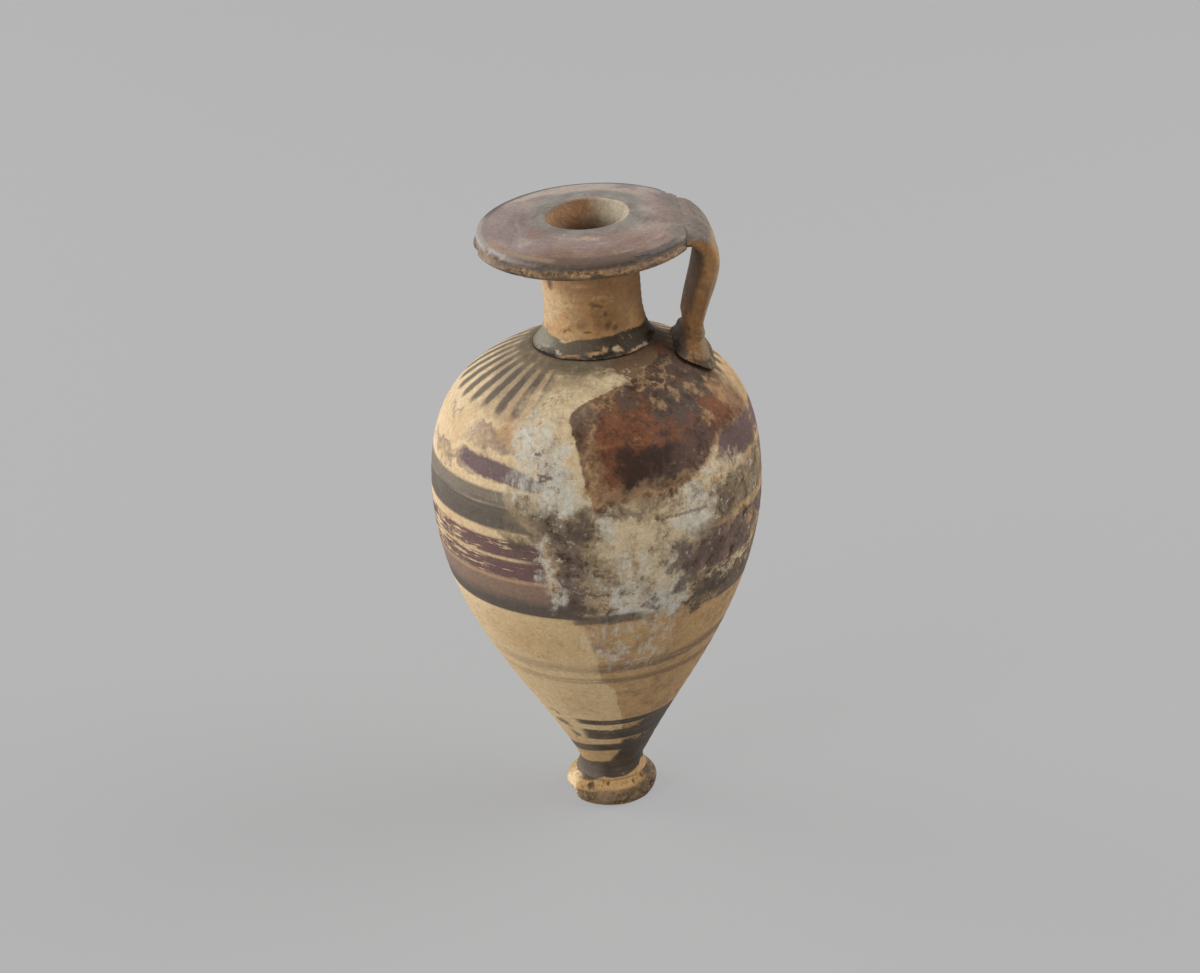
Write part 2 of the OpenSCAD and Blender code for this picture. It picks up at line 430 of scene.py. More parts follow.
def hand_line(value, points):
    """A line through a few points, each a place on the value and the height there."""
    xs, ys = [p[0] for p in points], [p[1] for p in points]
    x0, x1, y0, y1 = xs[0], xs[-1], min(ys), max(ys)
    card = [((x - x0) / (x1 - x0), (y - y0) / (y1 - y0)) for x, y in points]
    place = value.bench.add("ShaderNodeMapRange", {},
                            {"Value": value, "From Min": x0, "From Max": x1, "To Min": 0.0,
                             "To Max": 1.0})
    drawn = value.bench.add("ShaderNodeFloatCurve", {"points": card}, {"Value": place})
    return drawn * (y1 - y0) + y0


def ovals(spot, rows):
    """Distance to the nearest oval, 0 in its middle and 1 at its rim.
    A row has the middle's turn and height, and half the width and the height."""
    nearest = None
    for turn_at, height_at, half_wide, half_high in rows:
        scale = (1 / half_wide, 1 / half_high, 0)
        shift = (-turn_at / half_wide, -height_at / half_high, 0)
        away = distance(spot.bench.add("ShaderNodeVectorMath", {"operation": "MULTIPLY_ADD"},
                                       [spot, scale, shift]))
        nearest = away if nearest is None else lesser(nearest, away)
    return nearest


print("buff clay in linear light:", [round(c, 3) for c in colour(206, 178, 138)])

# %% [markdown]
# A finish on the pot is placed by two numbers: how far round it is, in degrees from the side
# that faces us, and how high it is, in millimetres. Both come from the object's own
# coordinates. The height is measured square to the leaning axis, so that a band painted on
# the turning wheel stays level on the pot. Two helpers fade out towards the back, one from
# the right and one from the left, so that nothing that depends on the turn jumps there.

# %% Where a brush is on the pot
VIEW_TURN = 3.0                     # degrees from the -Y side to the side that faces us
LEAN, LEAN_FROM = 0.0178, 52        # how much a level line climbs per mm, and from what height
SPECKLE = 0.9                       # how much the finest grain darkens or lightens a colour
SPECULAR = 0.3                      # fired clay mirrors little


class Finish:
    """A new material with the places and the noises that all finishes share."""

    def __init__(self, name, drift=(22, 11), plan=False):
        self.material = bpy.data.materials.new(name)
        self.bench = bench = cleared(self.material)
        self.place = bench.add("ShaderNodeTexCoord", out="Object") * 1000.0
        self.x, self.y, self.z = bench.add("ShaderNodeSeparateXYZ", {}, [self.place],
                                           ("X", "Y", "Z"))
        ramped = lesser(self.z * (1 / LEAN_FROM), 1.0)
        self.height = self.z - ramped * self.x * LEAN
        angle = calc("ARCTAN2", self.x, 0 - self.y)
        self.turn = angle * (180 / pi) + VIEW_TURN
        self.fore_right = edge(self.turn, 172, 118)
        self.fore_left = edge(self.turn, -170, -118)
        self.lumps = cloud(self.place, 26.0, 2.0)
        self.patch = cloud(self.place, 5.0, 5.0, 0.65)
        self.grain = cloud(self.place, 0.9, 4.0, 0.7)
        self.ragged = (self.patch - 0.5) * 2.0 + (self.grain - 0.5) * 1.2
        shove = bench.add("ShaderNodeTexNoise", {"noise_dimensions": "3D"},
                          {"Vector": self.place * 0.24, "Scale": 1.0, "Detail": 5.0,
                           "Roughness": 0.62}, "Color")
        spot = together(self.x, self.y, 0.0) if plan else together(self.turn, self.height, 0.0)
        self.spot = spot + (shove - 0.5) * (drift[0], drift[1], 0.0)

    def mottle(self, fine):
        """The middle noise with some of the fine one in it."""
        return self.patch + (self.grain - 0.5) * fine

    def crumble(self, coarse):
        """The fine noise with some of the middle one in it."""
        return self.grain + (self.patch - 0.5) * coarse

    def torn(self, value, ragged, start, end):
        """An edge with a ragged line."""
        return edge(value + self.ragged * ragged, start, end)

    def inside(self, rows, soft=0.3, ragged=0.3):
        """1 inside some ovals of turn, height, half width and half height, with ragged rims."""
        away = ovals(self.spot, rows) + self.ragged * ragged
        return edge(away, 1 + soft, 1 - soft)

    def stain(self, base, tint, rows, strength=0.9, soft=0.3, ragged=0.3):
        """Lays a tint over the base inside some ovals."""
        return blend(base, tint, self.inside(rows, soft, ragged) * strength)

    def flecks(self, size, share):
        """Small flecks. A greater share covers more."""
        speck = cloud(self.place, size * 2.4, 6.0, 0.82)
        return edge(speck + (self.patch - 0.5) * 0.3, 0.70 - share, 0.76 - share)

    def weathered(self, base, amount, dust=(214, 200, 174)):
        """Breaks a base up into darker and paler clouds of many sizes."""
        deep = cloud(self.place + (40.0, 0.0, 0.0), 3.2, 7.0, 0.78)
        pale = cloud(self.place + (0.0, 60.0, 0.0), 2.4, 7.0, 0.8)
        base = blend(base, base * (0.46, 0.38, 0.31), edge(deep, 0.48, 0.66) * amount)
        return blend(base, colour(*dust), edge(pale, 0.55, 0.72) * amount * 0.65)

    def tell(self, what):
        """Says which layer was just made."""
        print(f"{self.material.name}: {what}, {len(self.bench.tree.nodes)} nodes so far")

    def done(self, base, rough, height, depth):
        """Ends the network in one shader."""
        bench = self.bench
        speckle = cloud(self.place + (0.0, 0.0, 30.0), 0.8, 3.0, 0.85)
        base = base * (1 + (speckle - 0.5) * SPECKLE)
        bump = bench.add("ShaderNodeBump", {},
                         {"Strength": 1.0, "Distance": depth * MM, "Height": height})
        shader = bench.add("ShaderNodeBsdfPrincipled", {},
                           {"Base Color": base, "Roughness": rough, "Specular IOR Level": SPECULAR,
                            "Normal": bump})
        bench.add("ShaderNodeOutputMaterial", {}, [shader])
        print(f"{self.material.name}: {len(bench.tree.nodes)} nodes")
        return self.material


# %% [markdown]
# The body was thrown in buff clay. The left of the front kept its smooth pale skin, and the
# right turned browner in the ground, with an edge between them that runs down the front like
# a tide line. That edge is drawn as a line through a few heights.

# %% Clay of the body
BUFF = colour(208, 184, 148)
WARM_BUFF = colour(192, 164, 122)
BROWN_BUFF = colour(174, 139, 95)
DUN = colour(142, 114, 86)


def body_clay(f):
    t, h = f.turn, f.height
    warm = f.lumps + (f.patch - 0.5) * 0.6 + edge(t, -60, 0) * f.fore_right * 0.2
    base = blend(BUFF, WARM_BUFF, edge(warm, 0.35, 0.8))
    base = blend(base, WARM_BUFF, f.torn(h, 3, 62, 48) * 0.6)
    tide = hand_line(h, [(20, 9), (24, 8), (30, 4), (34, 3), (36, -1), (38, -4), (44, -5), (50, -7),
                         (54, -9), (60, -12), (84, -20), (104, -30)])
    brown_side = f.torn(t - tide, 1.5, -0.5, 1.2) * f.torn(t, 6, 165, 130)
    brown = blend(BROWN_BUFF, DUN, edge(f.mottle(0.7), 0.46, 0.72))
    base = blend(base, brown, brown_side * edge(h, 105, 84) * 0.95)
    base = f.stain(base, BROWN_BUFF, [(-30, 48, 14, 3), (-55, 66, 20, 5), (-20, 30, 12, 3)],
                   0.35, 0.8, 0.5)
    base = blend(base, colour(166, 132, 90), f.torn(h, 3, 22, 11) * 0.8)
    base = f.weathered(base, 0.12 + brown_side * 0.2)
    shoulder = f.torn(h, 2.0, 98.5, 102.5) * edge(f.patch, 0.28, 0.5)
    base = blend(base, colour(134, 118, 92), shoulder * 0.8)
    return blend(base, colour(96, 84, 66), f.torn(h, 0.8, 101.6, 102.6) * 0.85)


pot = Finish("painted_body")
skin = body_clay(pot)
pot.tell("clay")

# %% [markdown]
# Tongues hang from the neck all round the shoulder, 36 of them. A tongue is a wedge of the
# turn: the turn is cut into equal steps, and the distance from a step's middle, joined with
# the depth below the tongue's straight part, gives each tongue its round tip. They are a
# little uneven, as each was one pull of the brush.

# %% Tongues on the shoulder
BLACK_PAINT = colour(80, 72, 64)
THIN_PAINT = colour(112, 91, 73)
TONGUES, TONGUE_END = 36, 97.4      # how many, and at which height in mm their round tips begin


def tongues(f, base):
    t, h = f.turn, f.height
    step = (t + (f.lumps - 0.5) * 9 + 3) / (360 / TONGUES)
    across = calc("ABSOLUTE", calc("FRACT", step) - 0.5)
    below = greater(TONGUE_END - h + (f.lumps - 0.5) * 8, 0.0)
    away = calc("SQRT", across * across * 11 + below * below * 0.2 + 0.0001)
    strokes = f.torn(away, 0.3, 1.3, 0.55) * edge(h, 93.5, 95) * f.torn(h, 2, 103.5, 100.5)
    base = f.stain(base, colour(146, 126, 102), [(-50, 99.4, 15, 3.0), (-66, 100.8, 12, 1.6)],
                   0.7, 0.8, 1.1)
    base = f.stain(base, colour(158, 122, 86), [(-37, 97, 5, 4), (-40, 93.5, 6, 1.6)],
                   0.7, 0.7, 0.9)
    faded = edge(t, -32, -25) * edge(t, 76, 66)
    tint = blend(colour(72, 64, 57), colour(134, 126, 100), faded)
    return blend(base, tint, strokes * (0.83 - faded * 0.4))


skin = tongues(pot, skin)
pot.tell("tongues")

# %% [markdown]
# On the turning wheel the potter held a loaded brush still, which gives level bands: purple,
# black, maroon with brown and black under it, two thin lines, and a set near the foot. They
# are whole on the left and round the back, lost on the front, and faded on the right. A
# slanting line drawn through a few given points is where the damage of the front begins.

# %% Where the bands are whole


def find_bands(f):
    """Marks on the finish how level its bands are, where they are whole and where they fade."""
    t = f.turn
    f.level = f.height + edge(t, -10, 55) * edge(t, 175, 110) * 1.8
    brink = hand_line(f.height, [(54, 4), (55.5, -6), (57, -10), (60, -17), (64, -19.5), (72, -21),
                                 (75, -23), (77, -27), (79, -31), (83, -35), (83.6, -22), (88, -24),
                                 (90, -30)])
    f.left = f.torn(t - brink, 3.0, 1.5, -1.5)
    start = hand_line(f.height, [(54, 34), (60, 36), (62, 26), (64, 24), (70, 21), (72, 42),
                                 (80, 44), (82, 50), (91, 50)])
    patchy = edge(f.mottle(0.5) + edge(t, 85, 110) * 0.4, 0.38, 0.5)
    right = f.torn(t - start, 10, -2, 6) * (0.3 + patchy * 0.7)
    f.whole = greater(f.left, right)
    f.fade = edge(t, -10, 20) * f.torn(t, 10, 115, 95)
    f.hairs = cloud(f.place, 6.0, 3.0, 0.6, (0.5, 0.5, 9.0))


find_bands(pot)
pot.tell("places of the bands")

# %% [markdown]
# The purple band under the tongues is the most worn. Its edges wander, so each is a line
# drawn round the pot, and loose patches of the same purple lie beside it.

# %% The purple band
PURPLE = colour(98, 78, 80)


def purple_band(f, base):
    t, wavy = f.turn, f.level + f.ragged * 0.9
    top = hand_line(t, [(-180, 89), (-58, 89.2), (-35, 88.6), (-25, 87), (-16, 85), (45, 86),
                        (52, 91), (180, 89)])
    low = hand_line(t, [(-180, 85), (-58, 86.2), (-50, 85.4), (-40, 84.8), (-20, 83.4), (60, 84.2),
                        (180, 85)])
    ends = greater(edge(t - f.ragged * 3, -60, -56) * f.torn(t, 4, -14, -21),
                   f.torn(t, 8, 45, 51) * f.torn(t, 16, 158, 138))
    violet = edge(wavy - low, -0.3, 0.5) * edge(wavy - top, 0.4, -0.4) * ends
    worn = edge(f.mottle(0.7) - f.fade * 0.08, 0.26, 0.4)
    base = blend(base, PURPLE, violet * worn * 0.95)
    return f.stain(base, PURPLE, [(-43, 91.0, 13, 1.7), (-72, 87.2, 10, 0.9), (-62, 85.3, 14, 0.9),
                                  (-78, 93, 7, 0.5), (-50, 93, 6, 0.5)], 0.6, 0.6, 0.9)


skin = purple_band(pot, skin)
pot.tell("purple band")

# %% [markdown]
# The black band is thick paint with two thinner lines in it, where the brush had run dry.
# A noise that is stretched along the band gives the hairs of the brush.

# %% The black band


def black_band(f, base):
    h, hairs, fade = f.level, f.hairs, f.fade
    f.black = between(h + f.ragged * 0.15, 75.0, 83.0, 0.4)
    lines = greater(between(h + f.ragged * 0.15, 79.7, 80.1, 0.25), between(h, 81.8, 82.1, 0.3))
    thin = edge(h + (hairs - 0.5) * 6, 78.8, 81.0) * 0.3 + lines * edge(hairs, 0.4, 0.62) * 0.45
    ink = blend(blend(BLACK_PAINT, colour(76, 68, 58), hairs), colour(150, 134, 116), thin)
    return blend(base, blend(ink, colour(112, 97, 76), fade * 0.9), f.black * f.whole * 0.96)


skin = black_band(pot, skin)
pot.tell("black band")

# %% [markdown]
# The maroon band flakes in level scratches down to the pale clay, most of all on the far
# left. The scratches are a noise stretched along the band, and the few drips across it are
# one stretched down it.

# %% The maroon band
MAROON = colour(102, 76, 73)


def maroon_band(f, base):
    t, h = f.turn, f.level
    maroon = between(h + f.ragged * 0.4, 64.3, 73.0, 0.35)
    scratch = cloud(f.place, 3.0, 6.0, 0.78, (0.4, 0.4, 5.0))
    down = cloud(f.place, 3.0, 2.0, 0.5, (2.2, 2.2, 0.3))
    bare = edge(scratch + (f.patch - 0.5) * 0.5 - edge(t, -30, -66) * 0.10, 0.40, 0.35)
    bare = greater(bare, between(h + f.ragged * 0.3, 68.5, 69.2, 0.3) * f.torn(t, 4, -20, -34))
    bare = greater(bare, edge(down + (f.grain - 0.5) * 0.3, 0.72, 0.78) * edge(h, 73.0, 71.5) * 0.8)
    bare = bare * edge(t, 30, 10) * f.fore_left
    dull = blend(MAROON, colour(94, 75, 68), greater(f.fade, edge(t, -50, -85) * f.fore_left * 0.7))
    return blend(base, dull, maroon * f.whole * (1 - bare * 0.92))


skin = maroon_band(pot, skin)
pot.tell("maroon band")

# %% [markdown]
# Under the maroon lies a brown band that darkens downwards into black, with an orange line
# along its top where the paint is thin. With the four bands laid, all of them are weathered.

# %% The brown band
BROWN_PAINT = colour(128, 104, 86)


def brown_band(f, base):
    t, h, hairs = f.turn, f.level, f.hairs
    tilt = hand_line(t, [(-180, 0), (-80, -0.7), (80, 0.7), (180, 0)])
    f.brown = between(h + tilt, 55.5, 64.2, 0.3)
    deep = blend(BROWN_PAINT, colour(84, 74, 64),
                 edge(h + f.ragged * 0.7 + (hairs - 0.5) * 4, 61.6, 57.4))
    deep = blend(deep, colour(168, 134, 104), between(h + f.ragged * 0.1, 63.5, 64.3, 0.3) * 0.8)
    deep = blend(deep, colour(104, 88, 72), f.fade * 0.6)
    return blend(base, deep, f.brown * f.whole)


skin = pot.weathered(brown_band(pot, skin), 0.14)
banded = greater(pot.black, pot.brown) * pot.whole * (1 - pot.fade * 0.7)
pot.tell("brown band")

# %% [markdown]
# The bands near the foot slope down to the left, as the brush was lifted there, and on the
# right they run into one dark pool. Each is the height measured from a line that falls with
# the turn.

# %% Lines and bands of the lower body


def lower_bands(f, base):
    t, h = f.turn, f.height
    hairs = cloud(f.place, 5.0, 3.0, 0.6, (0.4, 0.4, 8.0))
    right = f.torn(t, 2, -8, -2) * f.fore_right
    rise = edge(t, 20, 60) * f.fore_right * 1.3
    line1 = between(h - rise + f.ragged * 0.25, 40.2, 42.5, 0.6) * (0.34 + right * 0.42)
    line2 = between(h + f.ragged * 0.25, 36.7, 38.3, 0.4) * (0.42 + right * 0.3)
    split = between(h, 37.35, 37.7, 0.15) * edge(t, 0, -8)
    faint = greater(line1, line2 * (1 - split * 0.6)) * edge(hairs, 0.2, 0.5) \
        * greater(edge(t, -75, -35), edge(t, -100, -135))
    base = blend(base, THIN_PAINT, faint)

    tail_off = greater(edge(t - f.ragged * 3, -32, -23), edge(t, -120, -150))
    b1 = between(h + f.ragged * 0.15, 22.5, 24.1, 0.25) * tail_off
    gaps = edge(hairs, 0.6, 0.7) * 0.7
    b2 = between(h + f.ragged * 0.3, 17.5, 20.8, 0.25) * tail_off * (1 - gaps)
    fall = h + edge(t, 0, -70) * f.fore_left * 1.6
    b3 = between(fall + f.ragged * 0.12, 13.6, 15.8, 0.25)
    stem = edge(h + edge(t, 0, -60) * f.fore_left * 1.2 - edge(t, -5, 8) * f.fore_right * 0.5
                + f.ragged * 0.2, 10.4, 9.9)
    shore = hand_line(h, [(9.5, -6), (10.9, -1.5), (12.5, 5), (13.8, 9), (15.7, 8), (17.5, 16),
                          (19.5, 13), (20.8, 17), (22.8, 26), (24.3, 24)])
    pool = f.torn(t - shore, 5, -3, 4) * f.torn(t, 5, 168, 150) * f.torn(h, 0.6, 24.3, 23.7)
    pool = pool * (1 - f.inside([(26, 17.6, 14, 0.5), (24, 21.9, 9, 0.4), (34, 16.4, 9, 0.4)],
                                0.5, 0.9) * 0.7)
    stroke = f.inside([(-46, 21.2, 8, 0.7), (-38, 18.6, 7, 0.9), (-46, 24.4, 6, 0.5)],
                      0.4, 0.5) * 0.75
    dark = greater(greater(greater(b1, b2), greater(b3, stem)), greater(pool, stroke))
    sole = hand_line(t, [(-180, 6.0), (-90, 5.6), (-57, 5.3), (-35, 5.2), (-17, 6.1), (-4, 5.8),
                         (26, 6.1), (55, 6.8), (65, 8.0), (75, 7.4), (180, 6)])
    dark = dark * f.torn(h - sole, 0.25, -0.15, 0.2)
    dark = dark * (1 - edge(f.crumble(0.6), 0.66, 0.74) * 0.6)
    tone = blend(colour(58, 49, 40), colour(90, 74, 58),
                 edge(f.patch + (hairs - 0.5) * 0.8, 0.4, 0.8))
    tone = blend(tone, colour(94, 84, 72), f.torn(t, 6, -10, -30) * f.fore_left * 0.6)
    return blend(base, tone, dark * 0.97), dark


skin, dark = lower_bands(pot, skin)
pot.tell("lower bands")

# %% [markdown]
# Between the bands on the left and the far right, most of the paint is gone. What is left of
# it shows as brown and purple clouds, and lime from the soil lies over them as a white crust
# that runs down in two drips. Each cloud is a set of ovals whose rims are broken up by noise
# of several sizes, because a stain in fired clay has no clean edge.

# %% Worn front
SMUDGE = colour(82, 69, 58)
REMAINS = colour(86, 67, 62)
OLIVE = colour(124, 106, 80)


def worn_front(f, base):
    t, h = f.turn, f.height
    zone = (1 - f.left) * f.torn(t, 12, 92, 70) * edge(t, -50, -38) \
        * edge(h + f.ragged * 0.8 - edge(t, 8, 25) * 0.8, 54.2, 55.4) * f.torn(h, 2, 85, 82.5)
    ground = blend(colour(186, 164, 132), colour(134, 114, 92), edge(f.mottle(0.9), 0.38, 0.66))
    base = blend(base, ground, zone * (0.9 - f.torn(t, 6, 26, 46) * 0.75))
    base = f.stain(base, OLIVE,
                   [(-3, 70, 4, 8), (-28, 79, 7, 4), (10, 80.3, 14, 1.6), (-18, 78, 10, 4),
                    (44, 60, 8, 1.4), (60, 76, 22, 2.8), (-31, 74, 9, 1.0)], 0.7, 0.6, 0.9)
    base = f.stain(base, REMAINS,
                   [(-11.5, 67, 4.8, 8), (-12, 61, 4.5, 3), (27, 67.5, 5, 3), (31, 64, 5, 3),
                    (24, 69.8, 2.6, 1.4), (62, 86, 13, 4), (42, 66.4, 12, 4.6)], 0.85, 0.6, 0.8)
    base = f.stain(base, REMAINS, [(5, 67.8, 1.8, 1.8), (9, 69, 2, 0.8), (15, 68.4, 3, 1.2)],
                   0.6, 0.9, 0.5)
    base = f.stain(base, SMUDGE,
                   [(-9, 77.4, 5.5, 3.6), (-16, 77, 8, 3.2), (47, 75.4, 6, 3), (-8, 80.4, 4, 1.2),
                    (-29, 72.4, 5, 1.4), (-11, 58.6, 6, 2.2), (-11, 75, 12, 1.6), (42, 57.8, 7, 2),
                    (55, 58, 14, 3), (33, 55.4, 8, 1.2)], 0.8, 0.6, 0.8)
    return f.weathered(base, zone * 0.9), zone


skin, zone = worn_front(pot, skin)
pot.tell("worn front")

# %% [markdown]
# A fire left its mark on the right of the shoulder: rust red, with a nearly black core, a
# purple-grey cloud on its right and dark tongues and tan specks above. Its left edge is
# sharp, so it is drawn as a line through a few points. Inside, the clouds are laid one over
# the other from the largest to the smallest.

# %% Fire mark
FIRE_RED = colour(98, 64, 42)
RUST = colour(116, 64, 36)
SMOKE = colour(76, 58, 53)
FIRE_DARK = colour(36, 18, 12)
TAN = colour(160, 126, 88)


def fire_mark(f, base):
    t, h = f.turn, f.height
    left = hand_line(h + f.ragged * 0.7,
                     [(79.5, 0), (80.5, -3), (83, -4), (86, -5.5), (90, -7), (92, -8), (94, -9.5),
                      (96, -12.5), (97.2, -12.5), (98.2, -9), (99.2, -1), (100.2, 12), (101.2, 34),
                      (102.2, 60), (104, 80)])
    bottom = hand_line(t, [(-14, 84), (-5, 82), (-2, 80.2), (3, 81), (10, 81.6), (24, 81.6),
                           (30, 82.6), (38, 84.4), (45, 87), (50, 89.2), (58, 89.4), (78, 89)])
    root = f.torn(h, 1.2, 98.2, 99.6) * f.torn(t, 14, -4, 22) * f.torn(t, 8, 84, 72)
    sooty = blend(colour(78, 58, 42), colour(104, 74, 50),
                  edge(f.grain + (f.patch - 0.5), 0.4, 0.6))
    base = blend(base, sooty, root * edge(f.mottle(0.8) + edge(t, 0, 60) * 0.12, 0.46, 0.54) * 0.85)
    inner = f.torn(t - left, 1.6, -0.6, 0.8)
    shape = inner * f.torn(h - bottom, 2.0, -1.4, 0.8) * f.torn(t, 12, 88, 70)
    glow = blend(FIRE_RED, colour(66, 44, 32), edge(f.mottle(0.6), 0.42, 0.62))
    glow = f.stain(glow, RUST,
                   [(6, 93, 10, 3), (18, 92.2, 12, 1.8), (2, 89, 5, 4), (34, 92.4, 12, 1.5),
                    (58, 93.4, 12, 2), (20, 96.5, 10, 1.5)], 0.8, 0.7, 0.9)
    glow = f.stain(glow, SMOKE,
                   [(32, 88.4, 15, 3.6), (40, 90, 9, 2.4), (-7, 97, 6, 1.6), (38, 95.5, 12, 3),
                    (20, 84, 12, 2)], 0.8, 0.6, 0.8)
    glow = f.stain(glow, colour(70, 58, 50),
                   [(17, 99.2, 4, 2.4), (29, 98, 3, 2.6), (36, 97.2, 3.4, 3.2), (45, 97, 3.4, 3.6),
                    (24, 85.4, 7, 1.6), (60, 97.6, 9, 2.4), (48, 100.6, 24, 1.2)], 0.8, 0.5, 0.9)
    glow = f.stain(glow, colour(134, 104, 76),
                   [(-3, 90, 4, 7), (12, 83.2, 20, 1.6), (30, 84.6, 10, 1.0), (70, 94, 6, 3)],
                   0.8, 0.7, 0.9)
    glow = f.stain(glow, TAN,
                   [(-3, 95, 1, 2.4), (-4, 87, 1.6, 5), (-2, 82.6, 4, 1.8), (30, 97.6, 2.5, 0.8),
                    (41, 98, 2, 1.0), (53, 97, 4, 0.9), (66, 95.6, 4, 1.2), (22, 82.4, 8, 0.6),
                    (3, 98.6, 5, 0.6), (34, 100.4, 22, 0.5), (49, 93, 1.6, 1.6)], 0.7, 0.7, 1.2)
    glow = f.weathered(glow, 0.85, (168, 136, 96))
    glow = blend(glow, colour(40, 26, 18), f.flecks(0.6, 0.12) * 0.7)
    glow = f.stain(glow, FIRE_DARK, [(12, 89.4, 8, 2.6), (13, 86.4, 5, 2), (22, 89, 7, 2.2)],
                   0.9, 0.5, 0.6)
    return blend(base, glow, shape * 0.97), shape


skin, burnt = fire_mark(pot, skin)
pot.tell("fire mark")

# %% [markdown]
# The crust is laid over everything. It is creamy where it is thin and bluish white where it
# is thick. A fine noise breaks it up, so the clay and the paint show through it, and small
# dark remains and specks stand clear of it.

# %% White crust and specks
CRUST = colour(192, 187, 173)
CREAM_CRUST = colour(198, 178, 144)


def crust(f, base, zone, burnt):
    t, h = f.turn, f.height
    drips = cloud(f.place, 2.4, 4.0, 0.7, (1.5, 1.5, 0.4))
    thin = f.inside([(-14, 95, 6, 6), (-18, 98.4, 18, 2.2), (12, 74, 12, 5), (-12, 88, 6, 8),
                     (6, 100.6, 12, 1.0), (30, 75, 11, 5), (16, 66, 9, 6), (-24, 94, 9, 5),
                     (52, 83, 8, 1.8), (43, 83, 7, 3), (56, 60.8, 16, 0.5)], 0.6, 0.9)
    thick = f.inside([(-24, 91, 8, 5), (-17, 87.5, 6, 5.5), (-13, 83, 5, 3), (-29, 94.5, 5, 2.4),
                      (36, 79, 7, 3), (42, 84, 3, 2), (33, 75, 8, 3), (15, 59, 10, 3.4),
                      (22, 58, 9, 3), (-17, 61, 3.4, 3), (-20.5, 69, 1.8, 4), (5, 62, 6, 2.4),
                      (16, 56.4, 6, 1.4), (2, 77, 3, 2.6)], 0.6, 0.9)
    veil = f.inside([(-2, 51, 7, 4.5), (-3, 46, 2.5, 3), (17, 50, 7, 4.5), (20, 43.5, 2.5, 3.5),
                     (11, 66, 16, 5), (-25, 84, 10, 2.5), (8, 46, 12, 4), (-20, 80.5, 6, 1.5)],
                    0.7, 1.0)
    broken = edge(drips + (f.grain - 0.5) * 0.8, 0.3, 0.62)
    clear = 1 - burnt * 0.85
    base = blend(base, CREAM_CRUST, thin * clear * (0.45 + broken * 0.5))
    base = blend(base, CRUST, thick * clear * (0.35 + broken * 0.6))
    base = blend(base, CRUST, veil * edge(drips + (f.grain - 0.5) * 0.6, 0.42, 0.66) * 0.75)
    base = f.stain(base, colour(84, 70, 60),
                   [(-8, 75.8, 4, 1.5), (-18.5, 86.7, 2.2, 0.8), (-22, 90.9, 1.8, 0.6),
                    (1, 57.4, 3, 1.7), (16, 58.8, 2.4, 1.2), (42, 57.6, 6, 1.8),
                    (33, 55.2, 3.5, 0.8), (-11, 58, 4, 2), (27, 60.4, 1.8, 1.4)], 0.8, 0.5, 0.7)
    base = f.stain(base, colour(182, 179, 168),
                   [(20.5, 58, 4, 1.8), (8, 57, 4, 1.2), (-14, 88, 3, 3)], 0.75, 0.7, 0.7)
    base = f.stain(base, colour(92, 74, 68), [(26, 68, 3, 2.2), (31, 65, 4, 3)], 0.75, 0.7, 0.8)
    base = f.stain(base, colour(100, 86, 74),
                   [(12, 80.4, 5, 0.9), (34, 79.2, 2.4, 1.2), (30, 63, 3, 1.8), (38, 72, 4, 1.6)],
                   0.6, 0.8, 0.6)
    row = between(h + f.ragged * 0.5 + t * 0.02, 77.2, 77.9, 0.3) * edge(t, -8, 0) * edge(t, 46, 36)
    base = blend(base, colour(96, 74, 56), row * edge(f.patch + (f.grain - 0.5), 0.45, 0.6) * 0.7)
    strip = (between(h + f.ragged * 0.5, 54.4, 56.6, 0.5) * f.torn(t, 4, -16, -10)
             * f.torn(t, 6, 20, 8))
    base = blend(base, colour(80, 72, 64), strip * 0.8)
    marked = greater(zone, greater(thin, thick))
    base = f.weathered(base, marked * clear * 0.6)
    base = blend(base, colour(78, 60, 46), f.flecks(0.7, 0.12) * marked * clear * 0.7)
    return base, greater(thick, veil * 0.5)


skin, white = crust(pot, skin, zone, burnt)
pot.tell("crust")

# %% [markdown]
# Fine dark soil and pale dust lie over all layers. Where the black clay paint is whole it has
# a slight gloss. Bare clay and crust are matt. The bump is low: fine grain, soft dents and
# the crust's own thickness.

# %% Soil, dust and gloss
MATT, GLOSS = 0.8, 0.28             # roughness, and how much less of it the black paint has
soil = edge(cloud(pot.place, 1.6, 4.0, 0.7) + (pot.patch - 0.5) * 0.4, 0.58, 0.82)
skin = blend(skin, colour(74, 58, 44), soil * 0.45)
skin = blend(skin, colour(232, 222, 202), edge(pot.crumble(0.3), 0.66, 0.85) * (0.3 - burnt * 0.24))
BODY_PAINT = pot.done(skin, MATT - greater(banded, dark) * GLOSS,
                      pot.grain * 0.5 + pot.patch * 0.7 + white * 0.35, 0.25)

# %% [markdown]
# The neck shows more bare clay than paint. It has a black band round its root, chipped along
# the old break, and brown smudges on its front. Just under the plate its top is darker, as
# painted shade. Level streaks, paler and darker, are left from the turning, and inside the
# passage the clay is dull.

# %% Clay of the neck
ORANGE_CLAY = colour(178, 134, 86)
DEEP_CLAY = colour(146, 108, 66)
UMBER = colour(92, 62, 40)


